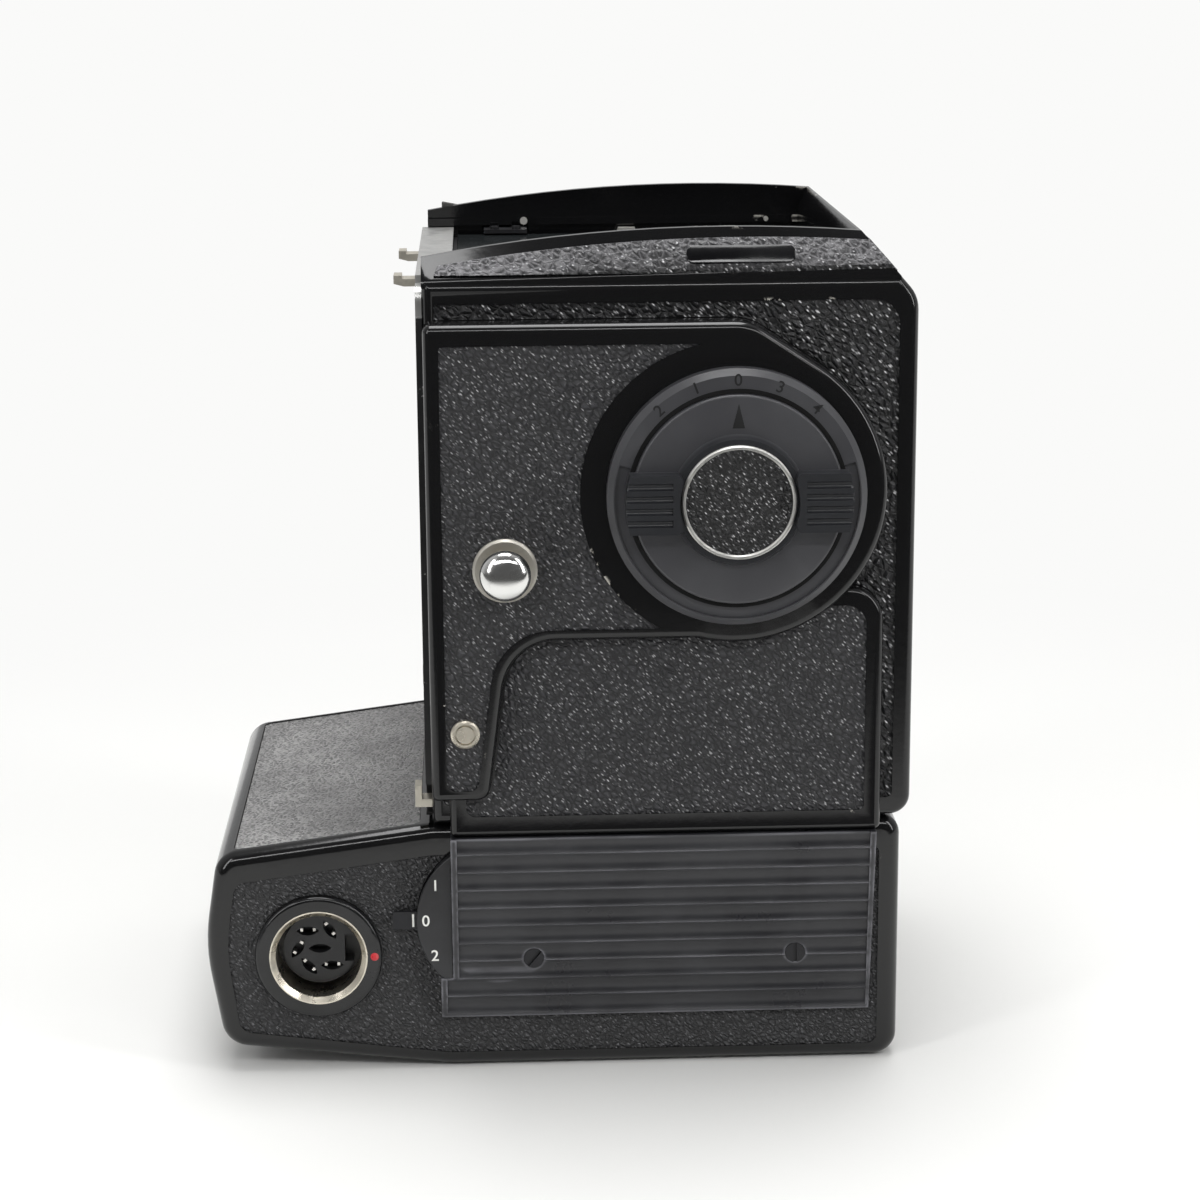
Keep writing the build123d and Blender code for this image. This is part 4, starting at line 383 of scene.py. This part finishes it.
# Bright small parts: turned brass or steel, plated with chromium or nickel. Each plating has its own
# gloss, with grime of 2.5 mm patches that handling leaves in it.
def plated(name, colour, rough, mark_mm):
    """Plated metal with faint marks of turning and handling."""
    material, tree, shader, place = start_material(name, {"Metallic": 1.0})
    marks = add(tree, "ShaderNodeTexNoise", {"Scale": across(mark_mm), "Detail": 4.0}, {"Vector": place})
    haze = add(tree, "ShaderNodeTexNoise", {"Scale": across(2.5), "Detail": 5.0}, {"Vector": place})
    dull = add(tree, "ShaderNodeMapRange",
               {"From Min": 0.35, "From Max": 0.75, "To Min": rough, "To Max": rough + 0.15},
               {"Value": haze.outputs["Fac"]})
    grime = add(tree, "ShaderNodeMapRange", {"From Min": 0.55, "From Max": 0.8, "To Max": 0.6},
                {"Value": haze.outputs["Fac"]})
    tone = add(tree, "ShaderNodeMix", {"data_type": "RGBA", 6: linear(colour), 7: linear("#8b8983")},
               {0: grime.outputs["Result"]})
    bump = add(tree, "ShaderNodeBump", {"Strength": 0.05, "Distance": 0.0001},
               {"Height": marks.outputs["Fac"]})
    join(tree, tone.outputs[2], shader, "Base Color")
    join(tree, dull.outputs["Result"], shader, "Roughness")
    join(tree, bump.outputs["Normal"], shader, "Normal")
    return material


# Polished before plating, so it mirrors the room
hard_chromium = plated("hard_chromium_plate", "#e4e4e2", 0.08, 0.2)
dress(hard_chromium, "lens_release_button", "release_button")
# Nickel over a blasted or tumbled surface: a soft, slightly yellow grey
dress(plated("satin_nickel_collar", "#cfcbc2", 0.38, 0.2), "strap_lugs")
dress(plated("tumbled_nickel_plate", "#e8e6e0", 0.4, 0.2), "finder_studs")
# Brushed or finely turned: bright, with a broad, cool highlight
dress(plated("satin_chromium_plate", "#c2c1bd", 0.3, 0.12), "bayonet_ring", "release_port", "port_plug",
      "battery_lock")
dress(plated("turned_steel_ring", "#dddcd8", 0.36, 0.12), "dial_trim_ring")
# Thin nickel, through which the brass tints it
dress(plated("warm_nickel_plate", "#dcd5c6", 0.24, 0.12), "socket_shell", "cover_stud")

# Polished cap on the near strap lug's head: its profile is a quarter of an ellipse, spun round
lug_x, lug_z = -23.6, 78.4
lug_face = -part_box("strap_lugs")[0].y * 1000
cap_radius, cap_skirt, cap_rise = 3.66, 1.25, 0.7
cap_steps = 12
cap = bmesh.new()
profile = []
for step in range(cap_steps + 1):
    turn = math.pi / 2 * step / cap_steps
    height = (cap_skirt + cap_rise) * math.cos(turn) - cap_skirt
    profile.append(cap.verts.new((cap_radius * math.sin(turn), 0, height)))
line = [cap.edges.new(pair) for pair in zip(profile, profile[1:])]
bmesh.ops.spin(cap, geom=profile + line, cent=(0, 0, 0), axis=(0, 0, 1), angle=2 * math.pi, steps=64,
               use_merge=True)
bmesh.ops.remove_doubles(cap, verts=cap.verts, dist=0.001)
on_side(cap, lug_x, lug_z, lug_face)
piece("strap_lug_cap", cap, "camera", hard_chromium)


# Steel parts: gears, shafts and housings of free-cutting steel, ground and lightly oiled. Hooks and
# supports for the magazine are stamped, bent and tumbled, and stay paler.
dress(plated("ground_steel", "#a3a19c", 0.34, 0.1), "lens_drive_shaft", "counter_shaft", "magazine_gear",
      "transfer_gear", "motor_pinion", "lens_lock_pin", "motor", "release_solenoid")
dress(plated("tumbled_steel", "#c9c4b8", 0.42, 0.1), "magazine_hooks", "magazine_supports")


# Rear frame: milled from aluminium plate. Its top is left bright, with fine marks from the cutter,
# and below it is painted black. Magazines have knocked the paint off in spots of about 3 mm.
paint_edge = 0.114
milled = plated("milled_aluminium", "#c6c6c4", 0.36, 0.15)
tree, shader, colour, place = reopen(milled)
level = add(tree, "ShaderNodeSeparateXYZ", {}, {0: place})
painted = add(tree, "ShaderNodeMapRange", {"From Min": paint_edge + 0.0002, "From Max": paint_edge - 0.0002},
              {"Value": level.outputs["Z"]})
knocks = add(tree, "ShaderNodeTexNoise", {"Scale": across(2.857), "Detail": 6.0, "Roughness": 0.65},
             {"Vector": place})
left_on = add(tree, "ShaderNodeMapRange", {"From Min": 0.66, "From Max": 0.64},
              {"Value": knocks.outputs["Fac"]})
paint_mask = add(tree, "ShaderNodeMath", {"operation": "MULTIPLY"},
                 {0: painted.outputs["Result"], 1: left_on.outputs["Result"]})
coat = add(tree, "ShaderNodeMix", {"data_type": "RGBA", 7: linear("#151516")},
           {0: paint_mask.outputs[0], 6: colour})
join(tree, coat.outputs[2], shader, "Base Color")
bare = add(tree, "ShaderNodeMath", {"operation": "SUBTRACT", 0: 1.0}, {1: paint_mask.outputs[0]})
join(tree, bare.outputs[0], shader, "Metallic")
dress(milled, "rear_plate")


# Blackened parts: mirror box, finder parts, front plate and base floor of aluminium, blasted and black
# anodised to a dull velvet, so that no light strays to the film.
def anodised(name, colour, rough):
    """Dark oxide or paint on metal, faintly blotched over 8 mm, with the blasting's fine grit."""
    material, tree, shader, place = start_material(name, {"Metallic": 0.3})
    cloud = add(tree, "ShaderNodeTexNoise", {"Scale": across(8.33), "Detail": 6.0}, {"Vector": place})
    grit = add(tree, "ShaderNodeTexNoise", {"Scale": across(0.167), "Detail": 2.0}, {"Vector": place})
    tone = add(tree, "ShaderNodeMix", {"data_type": "RGBA", 6: linear(colour), 7: linear("#26262a")},
               {0: cloud.outputs["Fac"]})
    dull = add(tree, "ShaderNodeMapRange",
               {"From Min": 0.3, "From Max": 0.7, "To Min": rough, "To Max": rough + 0.15},
               {"Value": cloud.outputs["Fac"]})
    bump = add(tree, "ShaderNodeBump", {"Strength": 0.15, "Distance": 0.00005},
               {"Height": grit.outputs["Fac"]})
    join(tree, tone.outputs[2], shader, "Base Color")
    join(tree, dull.outputs["Result"], shader, "Roughness")
    join(tree, bump.outputs["Normal"], shader, "Normal")
    return material


dress(anodised("black_anodised_aluminium", "#101012", 0.42), "mirror_chamber", "mirror_frame", "flap_upper",
      "flap_lower", "screen_frame", "screen_catch_right", "screen_catch_left", "front_plate",
      "accessory_rail", "base_floor", "motor_bracket")


# Focusing screen: acrylic, ground on its lower side, which scatters the image. Mirror: float
# glass with a coat of aluminium on its front.
def ground_acrylic(name):
    """Ground screen: milky and translucent, with a fine grain of 0.25 mm, coarser than the real one."""
    material, tree, shader, place = start_material(
        name, {"IOR": 1.49, "Transmission Weight": 0.8, "Base Color": linear("#4a5052")})
    grain = add(tree, "ShaderNodeTexNoise", {"Scale": across(0.25), "Detail": 2.0}, {"Vector": place})
    matte = add(tree, "ShaderNodeMapRange", {"To Min": 0.12, "To Max": 0.24}, {"Value": grain.outputs["Fac"]})
    join(tree, matte.outputs["Result"], shader, "Roughness")
    bump = add(tree, "ShaderNodeBump", {"Strength": 0.1, "Distance": 0.00005},
               {"Height": grain.outputs["Fac"]})
    join(tree, bump.outputs["Normal"], shader, "Normal")
    return material


dress(ground_acrylic("ground_acrylic_screen"), "focusing_screen")
dress(plated("front_coated_mirror", "#e4e6e6", 0.02, 2.0), "mirror_glass")


# Ribbed grip plate and the battery compartment's parts: black nylon, moulded. The plate is held by two
# slotted screws of blued steel, and the lever under the scale plate is of the same steel.
grip_nylon = moulded("ribbed_black_nylon", "#232326", 0.32, 0.3, 0.15)
tree, shader, colour, place = reopen(grip_nylon)
# Rays sent into the plate find the crests of the ribs, within 0.5 mm
crest_rays = add(tree, "ShaderNodeAmbientOcclusion",
             {"samples": 8, "inside": True, "only_local": True, "Distance": 0.0005}, {})
polish = add(tree, "ShaderNodeMapRange", {"From Min": 0.92, "From Max": 0.6}, {"Value": crest_rays.outputs["AO"]})
# Fingers polish them grey, and a highlight on them is painted lighter, in streaks of 2 by 12 mm
along = add(tree, "ShaderNodeMapping", {"vector_type": "TEXTURE", "Scale": (6.0, 1.0, 1.0)},
            {"Vector": place})
streaks = add(tree, "ShaderNodeTexNoise", {"Scale": across(2.0), "Detail": 4.0},
              {"Vector": along.outputs["Vector"]})
stretch = add(tree, "ShaderNodeMapRange",
              {"From Min": 0.35, "From Max": 0.65, "To Min": 0.15, "To Max": 0.85},
              {"Value": streaks.outputs["Fac"]})
painted_highlight = add(tree, "ShaderNodeMath", {"operation": "MULTIPLY"},
             {0: polish.outputs["Result"], 1: stretch.outputs["Result"]})
# Painted highlight on the crests, partly real polish from the fingers
shade = add(tree, "ShaderNodeMix", {"data_type": "RGBA", 7: linear("#75757b")},
            {0: painted_highlight.outputs[0], 6: colour})
join(tree, shade.outputs[2], shader, "Base Color")
dress(grip_nylon, "grip_plate", "battery_cassette", "battery_cover")
# Blued steel: blue-black oxide with a low gleam
dress(anodised("blued_steel", "#0b0b0d", 0.3), "grip_screws", "mode_lever")


# Scale plate beside the lever: the same nylon with a finer matt, with plain white numbers printed on it.
# A printed line on the lever's tab points to them.
dress(moulded("scale_plate_nylon", "#1d1d1f", 0.4, 0.3, 0.1), "lobe_plate")


def paint(name, colour, rough):
    """Printing ink or enamel filled into a mark, a little uneven over 0.7 mm."""
    material, tree, shader, place = start_material(name, {"IOR": 1.5})
    cloud = add(tree, "ShaderNodeTexNoise", {"Scale": across(0.667), "Detail": 4.0}, {"Vector": place})
    thin = add(tree, "ShaderNodeMapRange", {"From Min": 0.5, "From Max": 0.8, "To Max": 0.35},
               {"Value": cloud.outputs["Fac"]})
    tone = add(tree, "ShaderNodeMix", {"data_type": "RGBA", 6: linear(colour), 7: linear("#b5b3ac")},
               {0: thin.outputs["Result"]})
    join(tree, tone.outputs[2], shader, "Base Color")
    dull = add(tree, "ShaderNodeMapRange", {"To Min": rough - 0.08, "To Max": rough + 0.08},
               {"Value": cloud.outputs["Fac"]})
    join(tree, dull.outputs["Result"], shader, "Roughness")
    return material


ink_thickness = 0.04
lobe_face = -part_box("lobe_plate")[0].y * 1000
white_ink = paint("white_printing_ink", "#e9e9e4", 0.5)
scale_marks = bmesh.new()
for text, x, z in (("1", -34.6, 29.6), ("0", -36.1, 24.1), ("2", -34.85, 18.6)):
    digit = lettering(text, 2.4, ink_thickness)
    on_side(digit, x, z, lobe_face)
    gather(scale_marks, digit)
piece("scale_numbers", scale_marks, "camera", white_ink)

line_width, line_length = 0.3, 2.0
tab_x, tab_z = -38.0, 24.0
tab_face = -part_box("mode_lever")[0].y * 1000
index_line = bmesh.new()
bmesh.ops.create_cube(index_line, size=1.0)
bmesh.ops.scale(index_line, vec=(line_width, ink_thickness, line_length), verts=index_line.verts)
bmesh.ops.bevel(index_line, geom=index_line.edges[:], offset=0.01, segments=1, profile=0.5,
                affect="EDGES", material=-1)
bmesh.ops.translate(index_line, vec=(tab_x, -tab_face, tab_z), verts=index_line.verts)
piece("lever_index_line", index_line, "lever", white_ink)


# Remote socket: a moulded black insert with silvered blades in a plated shell, screwed in by a polished
# black ring. A drop of red enamel on the ring marks the key.
dress(moulded("socket_black_nylon", "#0b0b0c", 0.35, 0.3, 0.08), "socket_insert")
dress(moulded("polished_black_ring", "#111112", 0.16, 0.3, 0.03), "socket_ring")
dress(plated("silvered_contacts", "#e2e0da", 0.3, 0.2), "socket_contacts")
dot_radius = 0.62
dot_x, dot_z = -43.85, 18.45
ring_top = -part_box("socket_ring")[0].y * 1000
dot = bmesh.new()
bmesh.ops.create_uvsphere(dot, u_segments=24, v_segments=12, radius=dot_radius)
bmesh.ops.bisect_plane(dot, geom=dot.verts[:] + dot.edges[:] + dot.faces[:], plane_co=(0, 0, -0.1),
                       plane_no=(0, 0, 1), clear_inner=True)
bmesh.ops.scale(dot, vec=(1, 1, 0.25), verts=dot.verts)
on_side(dot, dot_x, dot_z, ring_top)
piece("socket_red_dot", dot, "camera", paint("red_enamel", "#c3202b", 0.3))


# Tripod bushes: turned brass, pressed into the base floor and left bare, so they stay warm yellow
# and take a soft highlight.
dress(plated("turned_brass", "#c9a766", 0.25, 0.2), "tripod_bushes")


# Block behind the finder wall on the far shoulder, where a hood finds its place: grey zinc casting,
# tapered towards the front and screwed to the shoulder from below.
block_size = (4.6, 1.5, 3.4)
block_middle = (-30.2, 33.85, 121.6)
block_taper = 0.9
block = bmesh.new()
bmesh.ops.create_cube(block, size=1.0)
bmesh.ops.scale(block, vec=block_size, verts=block.verts)
front_top = [vert for vert in block.verts if vert.co.x > 0 and vert.co.z > 0]
bmesh.ops.translate(block, vec=(0, 0, -block_taper), verts=front_top)
bmesh.ops.translate(block, vec=block_middle, verts=block.verts)
bmesh.ops.bevel(block, geom=block.edges[:], offset=0.2, segments=2, profile=0.5, affect="EDGES", material=-1)
piece("hood_block", block, "camera", anodised("painted_zinc_casting", "#4c4b46", 0.5))


# Small parts of plastics: feet of dull black rubber, glued into the floor; a board of glass-fibre laminate
# under glossy green resist; cells in a shrunk blue sleeve with a smooth sheen.
dress(moulded("black_rubber", "#121212", 0.7, 0.4, 0.3), "feet")
dress(moulded("green_solder_resist", "#12402a", 0.4, 0.5, 0.1), "circuit_board")
dress(moulded("blue_cell_sleeve", "#1d2f6b", 0.3, 2.0, 0.02), "battery_cells")


# Photographic studio: a white paper table in front of a white wall, a large softbox overhead, one on
# each side and a strip above the camera. The room behind the camera is dark, so that the lacquer's
# gloss stays black.
def sweep(name):
    """Paper that takes the object's shadow near it and is plain white to the camera further off."""
    material, tree, shader, place = start_material(name, {"Base Color": linear("#e8e8e6")})
    grain = add(tree, "ShaderNodeTexNoise", {"Scale": across(2.0), "Detail": 3.0}, {"Vector": place})
    dull = add(tree, "ShaderNodeMapRange", {"To Min": 0.6, "To Max": 0.8}, {"Value": grain.outputs["Fac"]})
    join(tree, dull.outputs["Result"], shader, "Roughness")
    rays = add(tree, "ShaderNodeLightPath", {}, {})
    mirrored = add(tree, "ShaderNodeMath", {"operation": "MAXIMUM"},
                   {0: rays.outputs["Is Glossy Ray"], 1: rays.outputs["Is Transmission Ray"]})
    radius = add(tree, "ShaderNodeVectorMath", {"operation": "LENGTH"}, {0: place})
    far = add(tree, "ShaderNodeMapRange",
              {"interpolation_type": "SMOOTHSTEP", "From Min": 0.1, "From Max": 0.3},
              {"Value": radius.outputs["Value"]})
    along = add(tree, "ShaderNodeSeparateXYZ", {}, {0: place})
    # In reflections the white table ends a little in front of the object, and the dark room begins
    table = add(tree, "ShaderNodeMapRange", {"From Min": -0.2, "From Max": -0.15, "To Min": 0.1},
                {"Value": along.outputs["Y"]})
    seen = add(tree, "ShaderNodeMath", {"operation": "MAXIMUM"},
               {0: rays.outputs["Is Camera Ray"], 1: table.outputs["Result"]})
    glow = add(tree, "ShaderNodeEmission", {"Color": linear(backdrop_white)}, {"Strength": seen.outputs[0]})
    direct = add(tree, "ShaderNodeMath", {"operation": "MAXIMUM"},
                 {0: rays.outputs["Is Camera Ray"], 1: mirrored.outputs[0]})
    share = add(tree, "ShaderNodeMath", {"operation": "MULTIPLY"},
                {0: direct.outputs[0], 1: far.outputs["Result"]})
    mixed = add(tree, "ShaderNodeMixShader", {},
                {0: share.outputs[0], 1: shader.outputs["BSDF"], 2: glow.outputs["Emission"]})
    finish = next(node for node in tree.nodes if node.bl_idname == "ShaderNodeOutputMaterial")
    tree.links.new(mixed.outputs[0], finish.inputs["Surface"])
    return material


backdrop_white = "#fafaf9"
floor_mesh = bmesh.new()
bmesh.ops.create_grid(floor_mesh, x_segments=1, y_segments=1, size=6.0)
floor_data = bpy.data.meshes.new("paper_floor")
floor_mesh.to_mesh(floor_data)
floor_mesh.free()
floor = bpy.data.objects.new("paper_floor", floor_data)
floor_data.materials.append(sweep("white_paper"))
bpy.context.scene.collection.objects.link(floor)

world = bpy.data.worlds.new("studio")
bpy.context.scene.world = world
world.use_nodes = True
tree = world.node_tree
tree.nodes.clear()
rays = add(tree, "ShaderNodeLightPath", {}, {})
direction = add(tree, "ShaderNodeSeparateXYZ", {},
                {0: add(tree, "ShaderNodeTexCoord", {}, {}).outputs["Generated"]})
# Dim behind the camera, half lit behind the object
room = add(tree, "ShaderNodeMapRange",
           {"interpolation_type": "SMOOTHSTEP", "From Min": -0.65, "From Max": 0.1,
            "To Min": 0.1, "To Max": 0.5},
           {"Value": direction.outputs["Y"]})
ambient = add(tree, "ShaderNodeBackground", {"Color": linear("#ffffff")},
              {"Strength": room.outputs["Result"]})
backdrop = add(tree, "ShaderNodeBackground", {"Color": linear(backdrop_white), "Strength": 1.0}, {})
mixed = add(tree, "ShaderNodeMixShader", {},
            {0: rays.outputs["Is Camera Ray"], 1: ambient.outputs[0], 2: backdrop.outputs[0]})
add(tree, "ShaderNodeOutputWorld", {}, {"Surface": mixed.outputs[0]})


def softbox(name, place, aim, size, power):
    """A rectangular softbox that faces a point, in metres and watts."""
    lamp = bpy.data.lights.new(name, "AREA")
    lamp.shape = "RECTANGLE"
    lamp.size, lamp.size_y = size
    lamp.energy = power
    holder = bpy.data.objects.new(name, lamp)
    holder.location = place
    holder.rotation_euler = (Vector(aim) - Vector(place)).to_track_quat("-Z", "Y").to_euler()
    bpy.context.scene.collection.objects.link(holder)


middle = (-0.015, 0.0, 0.06)
softbox("overhead_softbox", (0.0, 0.1, 1.0), middle, (0.55, 0.7), 7.5)
softbox("front_strip", (0.0, -0.78, 0.68), middle, (1.3, 0.08), 3.4)
softbox("left_softbox", (-0.85, -0.7, 0.6), middle, (0.2, 0.9), 3.2)
softbox("right_softbox", (0.85, -0.5, 0.55), middle, (0.14, 1.0), 3.6)

# Camera as the photograph was taken: 0.47 m away, a little above, looking at the dial side
camera_data = bpy.data.cameras.new("camera")
camera_data.sensor_width = 36.0
camera_data.lens = 85.5
camera_data.clip_start = 0.01
camera = bpy.data.objects.new("camera", camera_data)
yaw, pitch, roll = math.radians(2.39), math.radians(13.70), math.radians(-0.42)
forward = Vector((math.sin(yaw) * math.cos(pitch), math.cos(yaw) * math.cos(pitch), -math.sin(pitch)))
level = Vector((math.cos(yaw), -math.sin(yaw), 0.0))
upright = level.cross(forward)
right = math.cos(roll) * level + math.sin(roll) * upright
up = -math.sin(roll) * level + math.cos(roll) * upright
turned = Matrix((right, up, -forward)).transposed().to_4x4()
camera.matrix_world = Matrix.Translation((-0.0266, -0.43814, 0.17049)) @ turned
bpy.context.scene.collection.objects.link(camera)
bpy.context.scene.camera = camera
bpy.context.scene.view_settings.view_transform = "Standard"
